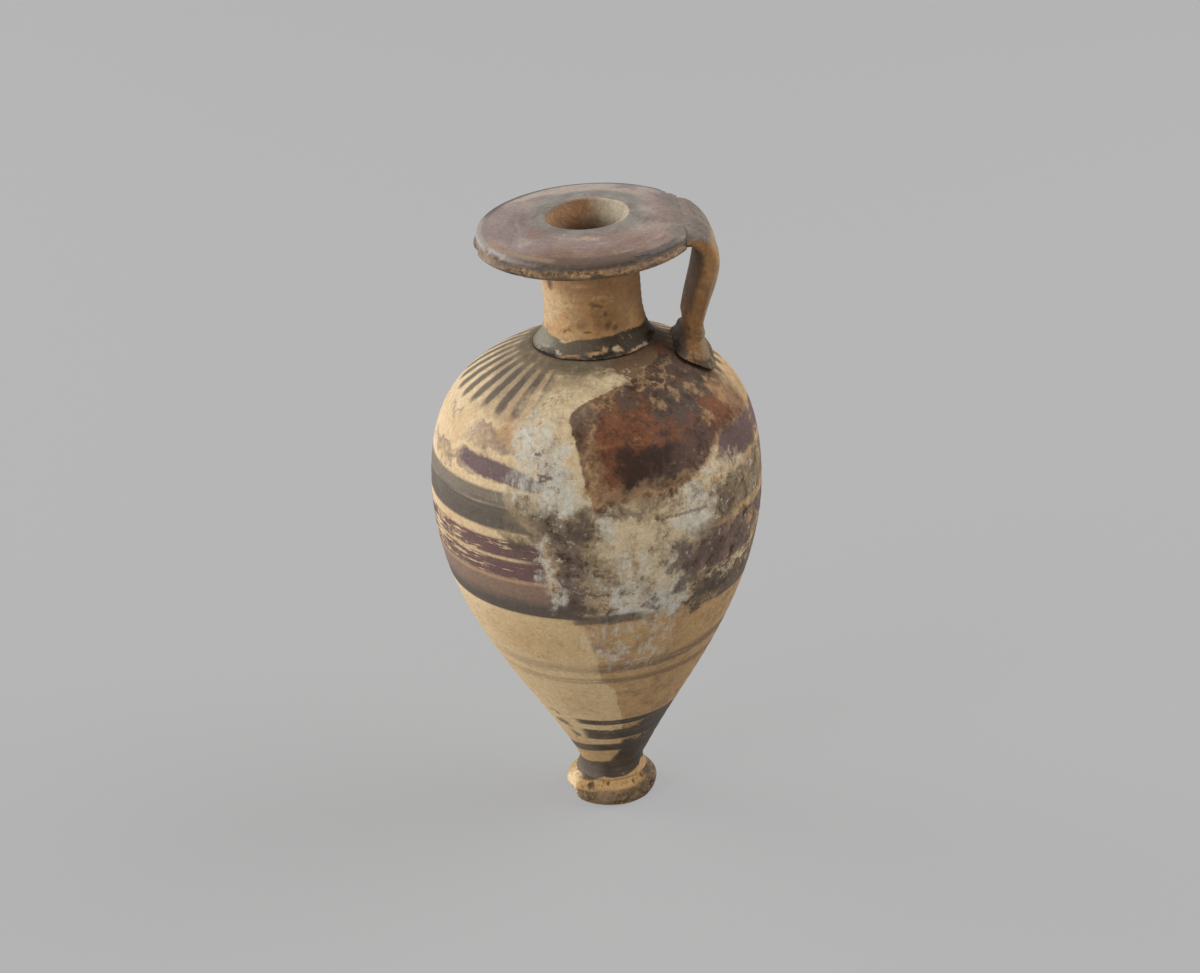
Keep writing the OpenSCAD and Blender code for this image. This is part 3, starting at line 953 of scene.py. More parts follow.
def neck_clay():
    f = Finish("neck_clay", (14, 3))
    t, h = f.turn, f.height
    side = f.torn(t, 12, -45, 10) * edge(t, 170, 130)
    base = blend(colour(190, 160, 120), DEEP_CLAY, side)
    base = blend(base, colour(176, 138, 98), f.torn(t, 8, 22, 46) * f.fore_right * 0.8)
    base = blend(base, ORANGE_CLAY, edge(f.mottle(0.5), 0.45, 0.62) * 0.7)
    # painted shade: the top of the neck is darker just under the plate
    base = f.stain(base, colour(150, 112, 76), [(-10, 119, 50, 2.5), (40, 116, 25, 3)],
                   0.6, 0.7, 0.7)
    streaks = cloud(f.place, 4.0, 5.0, 0.75, (0.45, 0.45, 2.4))
    base = blend(base, base * (0.8, 0.76, 0.72), edge(streaks + (f.grain - 0.5) * 0.5, 0.5, 0.64)
                 * 0.7)
    base = blend(base, colour(208, 170, 120), edge(streaks, 0.45, 0.36) * 0.35)
    base = f.stain(base, colour(124, 92, 60),
                   [(14, 110.6, 12, 2.0), (-14, 110.0, 8, 0.9), (40, 109, 8, 1.5)], 0.6, 0.9, 1.1)
    base = f.stain(base, UMBER, [(-56, 117.8, 6, 1.0), (5, 114.0, 6, 0.45), (15, 112.0, 2, 0.5),
                                 (19, 109.8, 5, 0.9), (27, 109.0, 3, 0.5), (-30, 108.6, 5, 0.4),
                                 (-5, 108.6, 5, 0.3)], 0.8, 0.6, 0.7)
    base = blend(base, UMBER, f.flecks(0.8, 0.10) * 0.5)
    base = blend(base, colour(212, 180, 134), f.flecks(1.3, 0.10) * edge(h, 112, 108) * 0.5)
    base = f.weathered(base, 0.25)
    top = hand_line(t, [(-180, 107.6), (-70, 107.4), (-45, 106.8), (-32, 106.2), (-15, 107.2),
                        (20, 107.6), (45, 108), (65, 107.4), (180, 107.6)])
    band = f.torn(h - top, 0.35, 0.25, -0.25)
    band = band * (1 - edge(f.crumble(0.7), 0.62, 0.74) * 0.5)
    ink = blend(colour(84, 74, 58), colour(46, 38, 27), f.torn(t, 8, -10, 25) * f.fore_right)
    ink = blend(ink, colour(112, 106, 88), f.torn(t, 8, -38, -58) * f.fore_left)
    base = blend(base, ink, band * 0.95)
    base = f.stain(base, colour(188, 150, 108),
                   [(2, 104.6, 7, 0.4), (12, 105.0, 4, 0.5), (-22, 104.0, 12, 0.2),
                    (25, 104.5, 4, 0.6), (44, 104.0, 12, 0.2)], 0.85, 0.5, 1.0)
    base = f.stain(base, colour(196, 182, 158),
                   [(-39, 104.4, 6, 0.25), (-56, 104.2, 7, 0.3), (24, 104.7, 3, 0.5),
                    (60, 104.0, 5, 0.3), (-34, 106.4, 6, 0.25)], 0.55, 0.5, 1.2)
    base = f.stain(base, colour(36, 28, 22),
                   [(-48, 103.9, 12, 0.35), (10, 104.0, 26, 0.22), (72, 104.2, 12, 0.6)],
                   0.85, 0.4, 0.8)
    inner = edge(distance(f.place * (1, 1, 0)), 6.6, 6.2)
    base = blend(base, colour(120, 96, 74), inner)
    return f.done(base, 0.75 - band * 0.2, f.grain * 0.8 + f.patch * 1.0, 0.3)


NECK_CLAY = neck_clay()

# %% [markdown]
# The foot's rim is worn dark where hands and tables rubbed it, with a pale broken place on
# the left and pits in its pale ring. The edge of the worn part is a line drawn round
# the foot, so that it rises and falls as on the pot.

# %% Clay of the foot


def foot_clay():
    f = Finish("foot_clay", (14, 2))
    t, h = f.turn, f.height
    base = blend(colour(178, 143, 94), DEEP_CLAY, edge(f.mottle(0.7), 0.5, 0.7) * 0.7)
    top = hand_line(t, [(-180, 4.4), (-100, 3.4), (-58, 3.0), (-42, 3.4), (-12, 3.7), (19, 3.9),
                        (46, 4.3), (60, 4.7), (75, 5.6), (140, 5.6), (180, 4.4)])
    rim = f.torn(h - top, 0.7, 0.3, -0.3) * greater(f.torn(t, 4, -60, -53), edge(t, -115, -135))
    tone = blend(colour(130, 108, 80), colour(84, 68, 53), edge(f.mottle(0.8), 0.4, 0.6))
    base = blend(base, DEEP_CLAY, f.torn(t, 6, 24, 50) * f.fore_right * 0.7)
    base = blend(base, tone, rim * 0.92)
    base = f.stain(base, colour(78, 66, 56), [(-45, 5.5, 16, 0.5), (70, 5.2, 14, 0.8)],
                   0.9, 0.4, 0.6)
    base = f.stain(base, colour(70, 58, 42),
                   [(-32, 4.4, 6, 0.5), (-11, 4.9, 3, 0.4), (50, 5.0, 3, 0.4), (30, 4.6, 2, 0.3)],
                   0.85, 0.4, 0.6)
    base = f.stain(base, colour(222, 198, 158), [(-72, 3.0, 16, 3.2), (-64, 0.8, 8, 1.2)],
                   0.8, 0.5, 0.6)
    base = blend(base, colour(64, 50, 38), f.flecks(0.7, 0.12) * 0.55)
    base = blend(base, colour(204, 168, 122), f.flecks(1.0, 0.10) * rim * 0.7)
    below = edge(f.z, 0.4, 0.1)
    base = blend(base, colour(150, 122, 88), below * 0.7)
    return f.done(base, 0.82, f.grain * 1.0 + f.patch * 1.6, 0.4)


FOOT_CLAY = foot_clay()

# %% [markdown]
# The strap is dark on its inner side, and grey above, where the plate's paint ran over it.
# How far a point is from the middle of the bend tells the inner side from the outer one.
# Along the strap run the dark streaks of its pulling.

# %% Clay of the strap
BEND_X, BEND_Z, BEND_R = 19.4, 120.6, 4.7       # the bend of the strap's middle line, in mm


def handle_clay():
    f = Finish("handle_clay", (6, 3))
    base = blend(colour(156, 116, 74), colour(124, 92, 58),
                 edge(f.patch + (f.lumps - 0.5) * 0.5, 0.4, 0.6))
    base = blend(base, colour(126, 92, 60), edge(f.mottle(0.7), 0.52, 0.66) * 0.6)
    above, under = greater(f.z - BEND_Z, 0.0), greater(BEND_Z - f.z, 0.0)
    bend = together((f.x - BEND_X) * (1 / 4.1), above * (1 / 5.5), 0.0)
    side = (distance(bend) - 1) * BEND_R + under * 0.31
    base = blend(base, base * (0.62, 0.56, 0.5), f.torn(f.z, 2, 117, 112) * 0.85)
    base = blend(base, colour(84, 68, 52), f.torn(side, 0.6, -0.7, -1.7) * edge(f.z, 125.5, 123)
                 * 0.75)
    long = cloud(f.place, 3.0, 3.0, 0.6, (1.2, 1.2, 0.4))
    base = blend(base, colour(84, 64, 46), edge(long + (f.grain - 0.5) * 0.5, 0.56, 0.7) * 0.6)
    outer = f.torn(side, 0.3, 1.3, 2.1) * edge(f.z, 106.5, 109)
    base = blend(base, colour(154, 134, 108), outer * 0.75)
    paint = f.torn(side, 0.25, 0.5, 1.0) * f.torn(f.z, 0.8, 124.6, 126.0)
    tone = blend(colour(102, 94, 86), colour(126, 113, 103), edge(f.mottle(0.6), 0.4, 0.64))
    tone = blend(tone, colour(132, 117, 109), f.torn(f.x, 1.6, 21.5, 19.2) * 0.5)
    base = blend(base, tone, paint * 0.95)
    base = blend(base, colour(60, 44, 32), f.flecks(0.7, 0.12) * 0.6)
    foot = f.torn(f.z, 0.8, 106.8, 105.6) * f.torn(f.x, 0.4, 18.8, 17.9)
    base = blend(base, colour(72, 64, 50), foot * 0.85)
    back = f.torn(f.z, 0.8, 107.5, 105) * f.torn(f.x, 0.6, 20.4, 21.8)
    base = blend(base, colour(122, 104, 80), back * 0.8)
    seam = f.torn(f.z + f.x * 0.5, 0.3, 111.6, 111.0)
    base = blend(base, colour(54, 42, 32), seam * edge(f.patch, 0.42, 0.5) * 0.8)
    base = f.weathered(base, 0.4)
    return f.done(base, 0.78, f.grain * 0.8 + long * 1.2 + f.patch, 0.35)


HANDLE_CLAY = handle_clay()

# %% [markdown]
# The mouth plate was painted purple and black and has worn to a mauve grey. Its stains are
# placed in plan, in millimetres to the right and to the back of the axis. A blue-grey ring
# runs round the hole, and faint wiped rings lie in the mauve field, because the paint went
# on while the plate turned.

# %% The top of the plate
AXIS_X = 0.15                       # mm: the plate's middle stands this far to the right
PLATE_LEAN = 0.0265                 # how much the plate's own level climbs per mm to the right


def plate_top(f):
    """The mauve field, its stains, a painted sheen at its back, and the ring round the hole."""
    out = f.out = distance((f.place + (-AXIS_X, 0.0, 0.0)) * (1, 1, 0))
    base = blend(colour(152, 136, 127), colour(134, 117, 112),
                 edge(f.patch + (f.lumps - 0.5) * 0.6, 0.4, 0.62))
    # painted sheen: the back part of the top is lighter, as if lit from behind
    base = blend(base, colour(168, 156, 144), f.torn(f.y, 6, 5, 18) * 0.65)
    base = f.stain(base, colour(164, 150, 136),
                   [(-19, 4, 3, 8), (8, -8, 6, 3), (-14, 14, 6, 4), (15, -9, 4, 5)], 0.7, 0.7, 0.8)
    base = f.stain(base, colour(118, 102, 99),
                   [(-14, 0, 4, 5), (9, 17, 2, 3), (-16, -4, 3, 4), (16, 8, 3, 5), (12, -5, 4, 2),
                    (-9, 12, 4, 2)], 0.7, 0.7, 0.9)
    base = f.stain(base, colour(136, 110, 98),
                   [(-3, -18.0, 10, 1.8), (14, -12, 3, 4), (17, -2, 3, 6), (9, -14, 5, 3),
                    (-8, -15.5, 5, 3), (4, -11, 6, 2)], 0.75, 0.7, 0.8)
    base = f.stain(base, colour(118, 92, 76),
                   [(-9, -6.5, 3, 3), (0, -7.6, 7, 1.8), (-7, -17.5, 6, 2), (5, -18, 6, 2)],
                   0.7, 0.7, 0.8)
    wiped = together(out, f.x * 0.14, f.y * 0.14)
    wiped = cloud(wiped, 1.5, 6.0, 0.75)
    base = blend(base, base * (0.7, 0.66, 0.63), edge(wiped, 0.5, 0.7) * 0.7)
    base = blend(base, colour(184, 170, 160), edge(wiped, 0.46, 0.3) * 0.45)
    base = f.stain(base, colour(126, 107, 106), [(-19.5, 1, 2.6, 8), (-17, 8, 4, 4)],
                   0.75, 0.7, 0.9)
    ring = edge(out + f.ragged * 1.6 - edge(f.y, 0, 12) * 2, 13.0, 10.6)
    base = blend(base, blend(colour(128, 123, 116), colour(112, 106, 98), edge(f.patch, 0.42, 0.6)),
                 ring * 0.85)
    base = f.stain(base, colour(168, 142, 118), [(0, -12.2, 2.6, 0.9)], 0.8, 0.5, 0.5)
    base = f.stain(base, colour(160, 151, 138), [(11.5, 1, 1.6, 1.8), (-5, -10, 0.6, 0.6)],
                   0.6, 0.8, 0.6)
    return f.stain(base, colour(112, 104, 94), [(22, -3, 6, 8), (19.5, -8.5, 4, 3), (20, 5, 4, 7)],
                   0.9, 0.6, 0.9)


plate = Finish("painted_mouth", (5, 5), plan=True)
mauve = plate_top(plate)
plate.tell("top")

# %% [markdown]
# A dark line lies in the groove of the edge, except where the handle joins. The front of the
# edge is rubbed to brown clay, its left part is pale, and the crest is chipped to orange.

# %% The edge of the plate


def plate_edge(f, base):
    """The dark line in the groove, the rubbed front, and the pale left part."""
    t, out = f.turn, f.out
    level = f.level = f.z - f.x * PLATE_LEAN
    f.painted = greater(f.torn(t, 10, -55, -25), f.torn(t, 10, -95, -120))
    joined = f.torn(f.x, 1.2, 16.0, 18.4)
    line = (between(out + f.ragged * 0.35, 20.5, 22.1, 0.5) * edge(level, 126.0, 126.8)
            * (1 - joined))
    base = blend(base, colour(84, 78, 74), line * f.painted * 0.9)
    front = (between(out + f.ragged * 0.5, 19.2, 22.5, 0.6) * f.torn(t, 8, -34, -16)
             * f.torn(t, 8, 36, 22))
    base = blend(base, colour(92, 73, 60), front * 0.85)
    pale = f.torn(out, 0.4, 21.0, 21.6) * edge(level, 126.5, 127.0) * f.torn(t, 8, -38, -56)
    base = blend(base, colour(148, 143, 136), pale * f.torn(t, 8, -112, -96) * 0.8)
    crest = (between(out + f.ragged * 0.4, 19.9, 21.2, 0.5) * f.torn(t, 5, -78, -66)
             * f.torn(t, 5, -16, -26))
    return blend(base, colour(150, 124, 98), crest * 0.7)


mauve = plate_edge(plate, mauve)
plate.tell("edge")

# %% [markdown]
# Below the groove the paint has rubbed off to the brown clay in level streaks, which come
# from a noise stretched round the pot. A little dark paint is left under the groove.

# %% The underside of the plate


def plate_under(f):
    """Brown clay with dark streaks and what is left of the paint."""
    t, level = f.turn, f.level
    streak = cloud(f.place, 4.0, 4.0, 0.65, (0.5, 0.5, 2.5))
    rubbed = streak + (f.grain - 0.5) * 0.8 + (f.patch - 0.5) * 0.5
    rubbed = edge(rubbed + edge(t, 0, 45) * f.fore_right * 0.12, 0.46, 0.66)
    under = blend(colour(88, 71, 55), colour(138, 107, 74), rubbed)
    clay = edge(f.mottle(0.8), 0.6, 0.7) * edge(level, 125.0, 125.5)
    under = blend(under, colour(186, 146, 102), clay * edge(t, 30, 15) * f.fore_right
                  * edge(t, -50, -25) * 0.8)
    under = blend(under, colour(70, 58, 48), edge(streak + (f.patch - 0.5) * 0.6, 0.42, 0.34) * 0.8)
    under = blend(under, colour(84, 78, 72), between(level + f.ragged * 0.2, 126.3, 127.0, 0.25)
                  * f.painted * 0.75)
    lip = f.torn(level, 0.3, 125.4, 124.9) * f.torn(f.out, 1.5, 12, 16) * f.torn(t, 10, 22, 4)
    under = blend(under, colour(92, 74, 58), lip * f.fore_right * 0.6)
    broken = edge(streak + (f.patch - 0.5), 0.44, 0.58)
    haze = between(level + f.ragged * 0.35, 125.0, 126.3, 0.35) * (0.35 + broken * 0.65)
    haze = haze * f.torn(t, 8, -40, -62)
    return blend(under, colour(138, 116, 98), haze * 0.7)


below = plate.torn(plate.level, 0.25, 127.1, 126.5) * edge(plate.out, 9.5, 10.5)
mauve = plate.weathered(blend(mauve, plate_under(plate), below), 0.22)
plate.tell("underside")

# %% [markdown]
# The funnel shows clay, brown on the left and pale grey on the right, and painted shade
# darkens it down the throat. It begins at the rim of the hole, where the paint of the top
# ends raggedly.

# %% The funnel


def funnel(f):
    """The clay inside the funnel, with painted shade down the throat."""
    inside = blend(colour(146, 106, 70), colour(176, 162, 138), f.torn(f.x, 2.0, -1, 5))
    inside = f.stain(inside, colour(112, 88, 64),
                     [(-2, -2, 4, 6), (-6, -3.5, 0.8, 2), (0, 5, 2, 2), (0, -6, 4, 3)],
                     0.7, 0.8, 0.9)
    inside = f.weathered(inside, 0.35)
    # painted shade: the clay darkens down the throat
    return blend(inside, colour(80, 64, 48), edge(f.z, 128.4, 122.5))


mauve = blend(mauve, funnel(plate), plate.torn(plate.out, 0.25, 8.6, 8.1))
MOUTH_PAINT = plate.done(mauve, 0.62, plate.grain * 0.8 + plate.patch * 1.1, 0.3)

# %% [markdown]
# Two thin layers of clay join the parts. The one at the neck's root shows as the dark crack
# of the old break. The one between the plate and the strap has the grey of the paint above
# and the brown of the clay below, so that it is not seen as a stripe of its own.

# %% The two joins


def dark_luting():
    f = Finish("dark_luting")
    base = blend(colour(40, 30, 24), colour(70, 54, 42), edge(f.patch, 0.4, 0.7))
    return f.done(base, 0.95, f.grain, 0.3)


LUTING = dark_luting()


def top_luting():
    f = Finish("top_luting")
    grey = blend(colour(112, 102, 94), colour(132, 118, 110), edge(f.mottle(0.6), 0.4, 0.64))
    base = blend(colour(124, 92, 62), grey, f.torn(f.z, 0.3, 126.2, 126.9))
    return f.done(base, 0.78, f.grain, 0.3)


TOP_LUTING = top_luting()

# %% [markdown]
# Old pots are chipped. A chip is made in the mesh: inside a ragged oval, points are pushed in
# towards the axis. The raggedness comes from a noise with a fixed place, so it never changes.

# %% Knock chips out of a piece
CHIP_GRAIN, RAGGED = 0.8, 0.45      # how fine the raggedness is, in 1/mm, and how strong


def knock(points, chips, beyond):
    """Pushes in the points beyond a radius. A chip is an oval: its turn, its height, half its
    width in degrees, half its height in millimetres, and its depth."""
    outer = np.hypot(points[:, 0], points[:, 1])
    turn_of = np.degrees(np.arctan2(points[:, 0], -points[:, 1])) + VIEW_TURN
    rough = np.array([noise.fractal(Vector(p) * CHIP_GRAIN, 1.0, 2.0, 3) for p in points])
    depth = np.zeros(len(points))
    for at, height, wide, tall, deep in chips:
        away = np.hypot((turn_of - at) / wide, (points[:, 2] - height) / tall) + rough * RAGGED
        depth = np.maximum(depth, deep * np.clip((1.15 - away) / 0.35, 0, 1))
    share = np.where(outer > beyond, 1 - depth / np.maximum(outer, 1), 1)
    print("points moved by chips:", int((share < 1).sum()))
    return points * np.stack([share, share, np.ones(len(points))], axis=1)


print("the raggedness at one place is always", round(noise.fractal(Vector((1, 2, 3)), 1, 2, 3), 4))

# %% [markdown]
# The body is one outline: up the outside from the foot to the seat of the neck, over the
# edge of the opening, and down the inside of the hollow. The outside gets many more points
# than the inside, because only the outside carries small dents and finger lines.

# %% Turn the body
FOOT_H, BODY_Z, BELLY_Z, SHOULDER_Z, NECK_Z, MOUTH_Z = 5.4, 9.1, 72.8, 103.3, 103.7, 121.0
BELLY_R, STEM_R, ROOT_R, NECK_R, BORE_R, THROAT_R = 33.8, 6.9, 12.3, 9.8, 5.7, 6.0

body_outline = [
    (0, FOOT_H),
    *straight((0, FOOT_H), (7.2, FOOT_H), 8),
    *arc((7.2, FOOT_H + 0.2), 0.2, -90, 0, 3),
    *curve((7.4, FOOT_H + 0.2), (6.9, 6.51), (6.4, 7.99), (STEM_R, BODY_Z), 12),
    *curve((STEM_R, BODY_Z), (14.87, 26.3), (BELLY_R, 47.0), (BELLY_R, BELLY_Z), 130),
    *curve((BELLY_R, BELLY_Z), (BELLY_R, 93.3), (25.8, 97.8), (ROOT_R, SHOULDER_Z), 84),
    *straight((ROOT_R, SHOULDER_Z), (THROAT_R, SHOULDER_Z), 8),
    *curve((THROAT_R, SHOULDER_Z), (THROAT_R, 102.4), (THROAT_R, 102), (THROAT_R, 101.1), 3),
    *curve((THROAT_R, 101.1), (22.7, 94.8), (30.2, 91.1), (30.2, BELLY_Z), 18),
    *curve((30.2, BELLY_Z), (30.2, 43.5), (12.7, 16.6), (0, 16.1), 24),
]
body_mesh = turn("body", body_outline, BODY_PAINT, 320, Finger_line_depth=0.05,
                 Finger_line_pitch=2.6, Unevenness=0.3, Unevenness_size=22.0, Seed=3.0)
hand_over("body", body_mesh, points_of(body_mesh))

# %% [markdown]
# The foot is a small disc with a shallow hollow under it, so that it stands on a ring. It is
# turned on the same wheel as the body, and its rim is the most chipped part of the pot.

# %% Turn the foot
foot_outline = [
    (0, 1.2),
    *curve((0, 1.2), (2, 1.15), (4.5, 1.0), (5.8, 0), 14),
    *straight((5.8, 0), (8.4, 0), 8),
    *arc((8.4, 0.3), 0.3, -90, 0, 4),
    *curve((8.7, 0.3), (9.4, 1.08), (9.5, 1.88), (9.5, 2.48), 14),
    *curve((9.5, 2.48), (9.5, 3.58), (8.6, 4.48), (7.4, FOOT_H), 14),
    *straight((7.4, FOOT_H), (0, FOOT_H), 8),
]
foot_mesh = turn("foot", foot_outline, FOOT_CLAY, 240, Unevenness=0.45, Unevenness_size=4.0,
                 Seed=5.0)
foot_chips = [
    (-74, 0.9, 20, 1.9, 1.1), (-30, 4.4, 5, 0.5, 0.35), (-11, 4.9, 3, 0.4, 0.3),
    (60, 2.2, 7, 0.8, 0.7), (15, 0.8, 14, 0.6, 0.25)
]
foot_points = knock(points_of(foot_mesh), foot_chips, 6.5)
hand_over("foot", foot_mesh, foot_points)

# %% [markdown]
# The neck is a slim tube with a flared root. It broke off once along its root, and so the
# chips there sit close together. Finger lines are deepest here, where the wall is narrow.

# %% Turn the neck
neck_outline = [
    (BORE_R, NECK_Z),
    *straight((BORE_R, NECK_Z), (ROOT_R, NECK_Z), 10),
    *curve((ROOT_R, NECK_Z), (10.7, 105.26), (NECK_R, 107.85), (NECK_R, 111.83), 40),
    *curve((NECK_R, 111.83), (NECK_R, 117.02), (NECK_R, 119), (10.0, MOUTH_Z), 40),
    *straight((10.0, MOUTH_Z), (BORE_R, MOUTH_Z), 8),
    *straight((BORE_R, MOUTH_Z), (BORE_R, NECK_Z), 20),
]
neck_mesh = turn("neck", neck_outline, NECK_CLAY, 220, Finger_line_depth=0.08,
                 Finger_line_pitch=1.6, Unevenness=0.2, Unevenness_size=9.0, Seed=8.0)
neck_chips = [
    (-52, 103.9, 12, 0.7, 0.6), (-22, 103.9, 10, 0.3, 0.3), (2, 104.6, 7, 0.5, 0.25),
    (14, 104.9, 4, 0.6, 0.3), (25, 104.4, 4, 0.7, 0.35), (72, 104.2, 12, 0.8, 0.6),
    (33, 107.5, 3, 0.4, 0.2), (120, 104.0, 9, 0.5, 0.4)
]
neck_points = knock(points_of(neck_mesh), neck_chips, 8.5)
hand_over("neck", neck_mesh, neck_points)

# %% [markdown]
# Between the shoulder and the neck lies the thin ring of clay that joins them. It is a flat
# washer, set back from the neck's edge, which leaves the fine dark line of the old break.

# %% The ring under the neck
RING_IN, RING_OUT = 6.5, 11.8
luting_outline = [
    (RING_IN, SHOULDER_Z),
    *straight((RING_IN, SHOULDER_Z), (RING_OUT, SHOULDER_Z), 6),
    *straight((RING_OUT, SHOULDER_Z), (RING_OUT, NECK_Z), 2),
    *straight((RING_OUT, NECK_Z), (RING_IN, NECK_Z), 6),
    *straight((RING_IN, NECK_Z), (RING_IN, SHOULDER_Z), 2),
]
luting_mesh = turn("neck_luting", luting_outline, LUTING, 160)
hand_over("neck_luting", luting_mesh, points_of(luting_mesh))

# %% [markdown]
# The mouth plate is a broad ring with a funnel in it: a worn convex top, a groove in the
# edge, and an underside that slopes in to the neck. On the right it is cut flat for the
# handle, which is done after the turning, as the potter would.

# %% Turn the mouth plate
HOLE_R, CREST_Z, TOP_Z = 8.6, 128.1, 130.0
CUT_X = 19.0                        # mm: where the plate is cut flat
mouth_outline = [
    (THROAT_R, MOUTH_Z),
    *straight((THROAT_R, MOUTH_Z), (THROAT_R, 122.1), 4),
    *curve((THROAT_R, 122.1), (6.2, 125.5), (7.5, 127.75), (8.1, 129.5), 26),
    *arc((HOLE_R, 129.5), 0.5, 180, 90, 6),
    *curve((HOLE_R, TOP_Z), (12.6, 129.85), (17.4, 128.8), (21.2, CREST_Z), 54),
    *arc((21.2, 127.4), 0.7, 90, 0, 8),
    *curve((21.9, 127.4), (21.55, 126.85), (22.05, 126.3), (22.4, 125.6), 12),
    *arc((21.7, 125.6), 0.7, 0, -75, 6),
    *curve((22.04, 124.92), (18.4, 123.5), (13.8, 122.2), (10.0, MOUTH_Z), 40),
    *straight((10.0, MOUTH_Z), (THROAT_R, MOUTH_Z), 8),
]
mouth_mesh = turn("mouth_plate", mouth_outline, MOUTH_PAINT, 340, Unevenness=0.25,
                  Unevenness_size=12.0, Seed=12.0)
mouth_chips = [
    (-58, 127.6, 9, 0.7, 0.5), (-38, 125.4, 6, 0.6, 0.4), (-20, 127.5, 4, 0.4, 0.3),
    (5, 125.2, 5, 0.5, 0.35), (28, 127.6, 5, 0.4, 0.3), (-80, 125.4, 6, 0.7, 0.5),
    (130, 127.5, 8, 0.7, 0.5), (165, 125.3, 6, 0.6, 0.4)
]
mouth_points = knock(points_of(mouth_mesh), mouth_chips, 20.0)
mouth_points[:, 0] = np.minimum(mouth_points[:, 0], CUT_X)
hand_over("mouth_plate", mouth_mesh, mouth_points)

# %% [markdown]
# The handle was pulled from a strip of clay. A pulled strip is a row of rounded sections
# along a path, each with its own width and thickness, joined into one closed skin.

# %% Sections along a path


def stations(values, s):
    """A smooth line through equally spaced values, read at s from 0 to 1."""
    v = np.array(values, float)
    x = np.clip(s * (len(v) - 1), 0, len(v) - 1 - 1e-9)
    i = np.floor(x).astype(int)
    t = x - i
    a, b, c, d = v[np.maximum(i - 1, 0)], v[i], v[i + 1], v[np.minimum(i + 2, len(v) - 1)]
    return b + t * (c - a + t * (2 * a - 5 * b + 4 * c - d + t * (3 * (b - c) + d - a))) / 2


def section(half_thick, half_wide, sides):
    """A rounded oblong."""
    a = 2 * pi * (np.arange(sides) + 0.5) / sides
    c, s = np.cos(a), np.sin(a)
    return half_thick * np.sign(c) * np.abs(c) ** 0.5, half_wide * np.sign(s) * np.abs(s) ** 0.5


def loft(name, rings, clay):
    """A closed mesh through rings of points."""
    count, sides = len(rings), len(rings[0])
    faces = [(i * sides + j, (i + 1) * sides + j, (i + 1) * sides + (j + 1) % sides,
              i * sides + (j + 1) % sides) for i in range(count - 1) for j in range(sides)]
    faces += [tuple(range(sides)), tuple(range((count - 1) * sides, count * sides))[::-1]]
    mesh = bpy.data.meshes.new(name)
    mesh.from_pydata(np.concatenate(rings).tolist(), [], faces)
    mesh.materials.append(clay)
    return mesh


def rings_along(path, angles, thick, wide, sides=72):
    """Sections set square to a path in the X-Z plane."""
    rings = []
    for (x, z), angle, t, w in zip(path, angles, thick, wide):
        along, across = section(t / 2, w / 2, sides)
        rings.append(np.stack([x + along * cos(angle), across, z + along * sin(angle)], axis=1))
    return rings


print("a section is half as thick and wide as",
      [round(float(v.max()), 2) for v in section(1, 3, 72)])

# %% [markdown]
# The strap leaves the plate flat, bends over, and comes down to the shoulder. Its path is two
# curves. Its first rings take the plate's own section and let it go slowly, so that plate and
# strap flow into each other, as they do where wet clay is smoothed over a join.

# %% Pull the strap
STRAP_START, STRAP_BEND, STRAP_END = (19.4, 126.08), (23.4, 120.58), (19.6, 106.4)
BLEND_TO = 0.22                     # the share of the strap that still keeps the plate's section
STRAP_THICK = [4.2, 4.0, 4.7, 4.8, 4.4, 4.1]            # mm, at equal steps along the path
STRAP_WIDE = [23.4, 18.2, 15.6, 14.4, 13.6, 12.8]
JOIN_X = 19.2                       # mm: where the strap reads the plate's section
# the plate's top and underside there: distances from the axis, and heights, in mm
PLATE_TOP = ([17.4, 21.2, 21.7, 21.9, 22.35], [128.95, 128.1, 127.9, 127.4, 126.3])
PLATE_LOW = ([18.4, 20.2, 22.04, 22.35], [123.5, 124.15, 124.92, 125.7])

strap_path = np.array([
    STRAP_START,
    *curve(STRAP_START, (21.7, 125.98), (23.6, 123.68), STRAP_BEND, 70),
    *curve(STRAP_BEND, (23.3, 116.18), (20.6, 111.3), STRAP_END, 90),
])
slope = np.gradient(strap_path, axis=0)
strap_angles = np.arctan2(slope[:, 1], slope[:, 0]) + pi / 2
strap_angles[0] = pi / 2
strap_s = np.linspace(0, 1, len(strap_path))
strap_rings = rings_along(strap_path, strap_angles, stations(STRAP_THICK, strap_s),
                          stations(STRAP_WIDE, strap_s))


def take_plate_section(ring, share):
    """Moves a ring's points up and down to the plate's own section at its cut edge."""
    out = np.hypot(JOIN_X, ring[:, 1])
    top, low = np.interp(out, *PLATE_TOP), np.interp(out, *PLATE_LOW)
    middle = STRAP_START[1]
    rise = (ring[:, 2] - middle) / (STRAP_THICK[0] / 2)
    goal = middle + np.where(rise > 0, rise * (top - middle), rise * (middle - low))
    return np.stack([ring[:, 0], ring[:, 1], ring[:, 2] + (goal - ring[:, 2]) * share], axis=1)


for i, s in enumerate(strap_s):
    if s < BLEND_TO:
        share = (1 - s / BLEND_TO) ** 2 * (1 + 2 * s / BLEND_TO)
        strap_rings[i] = take_plate_section(strap_rings[i], share)
strap_mesh = loft("handle", strap_rings, HANDLE_CLAY)
hand_over("handle", strap_mesh, np.concatenate(strap_rings))

# %% [markdown]
# At its lower end the strap was pressed on to the shoulder with a pad of clay. The pad goes
# on from the strap's last section, turns out, and widens fast, and its end is buried in the
# body's wall.

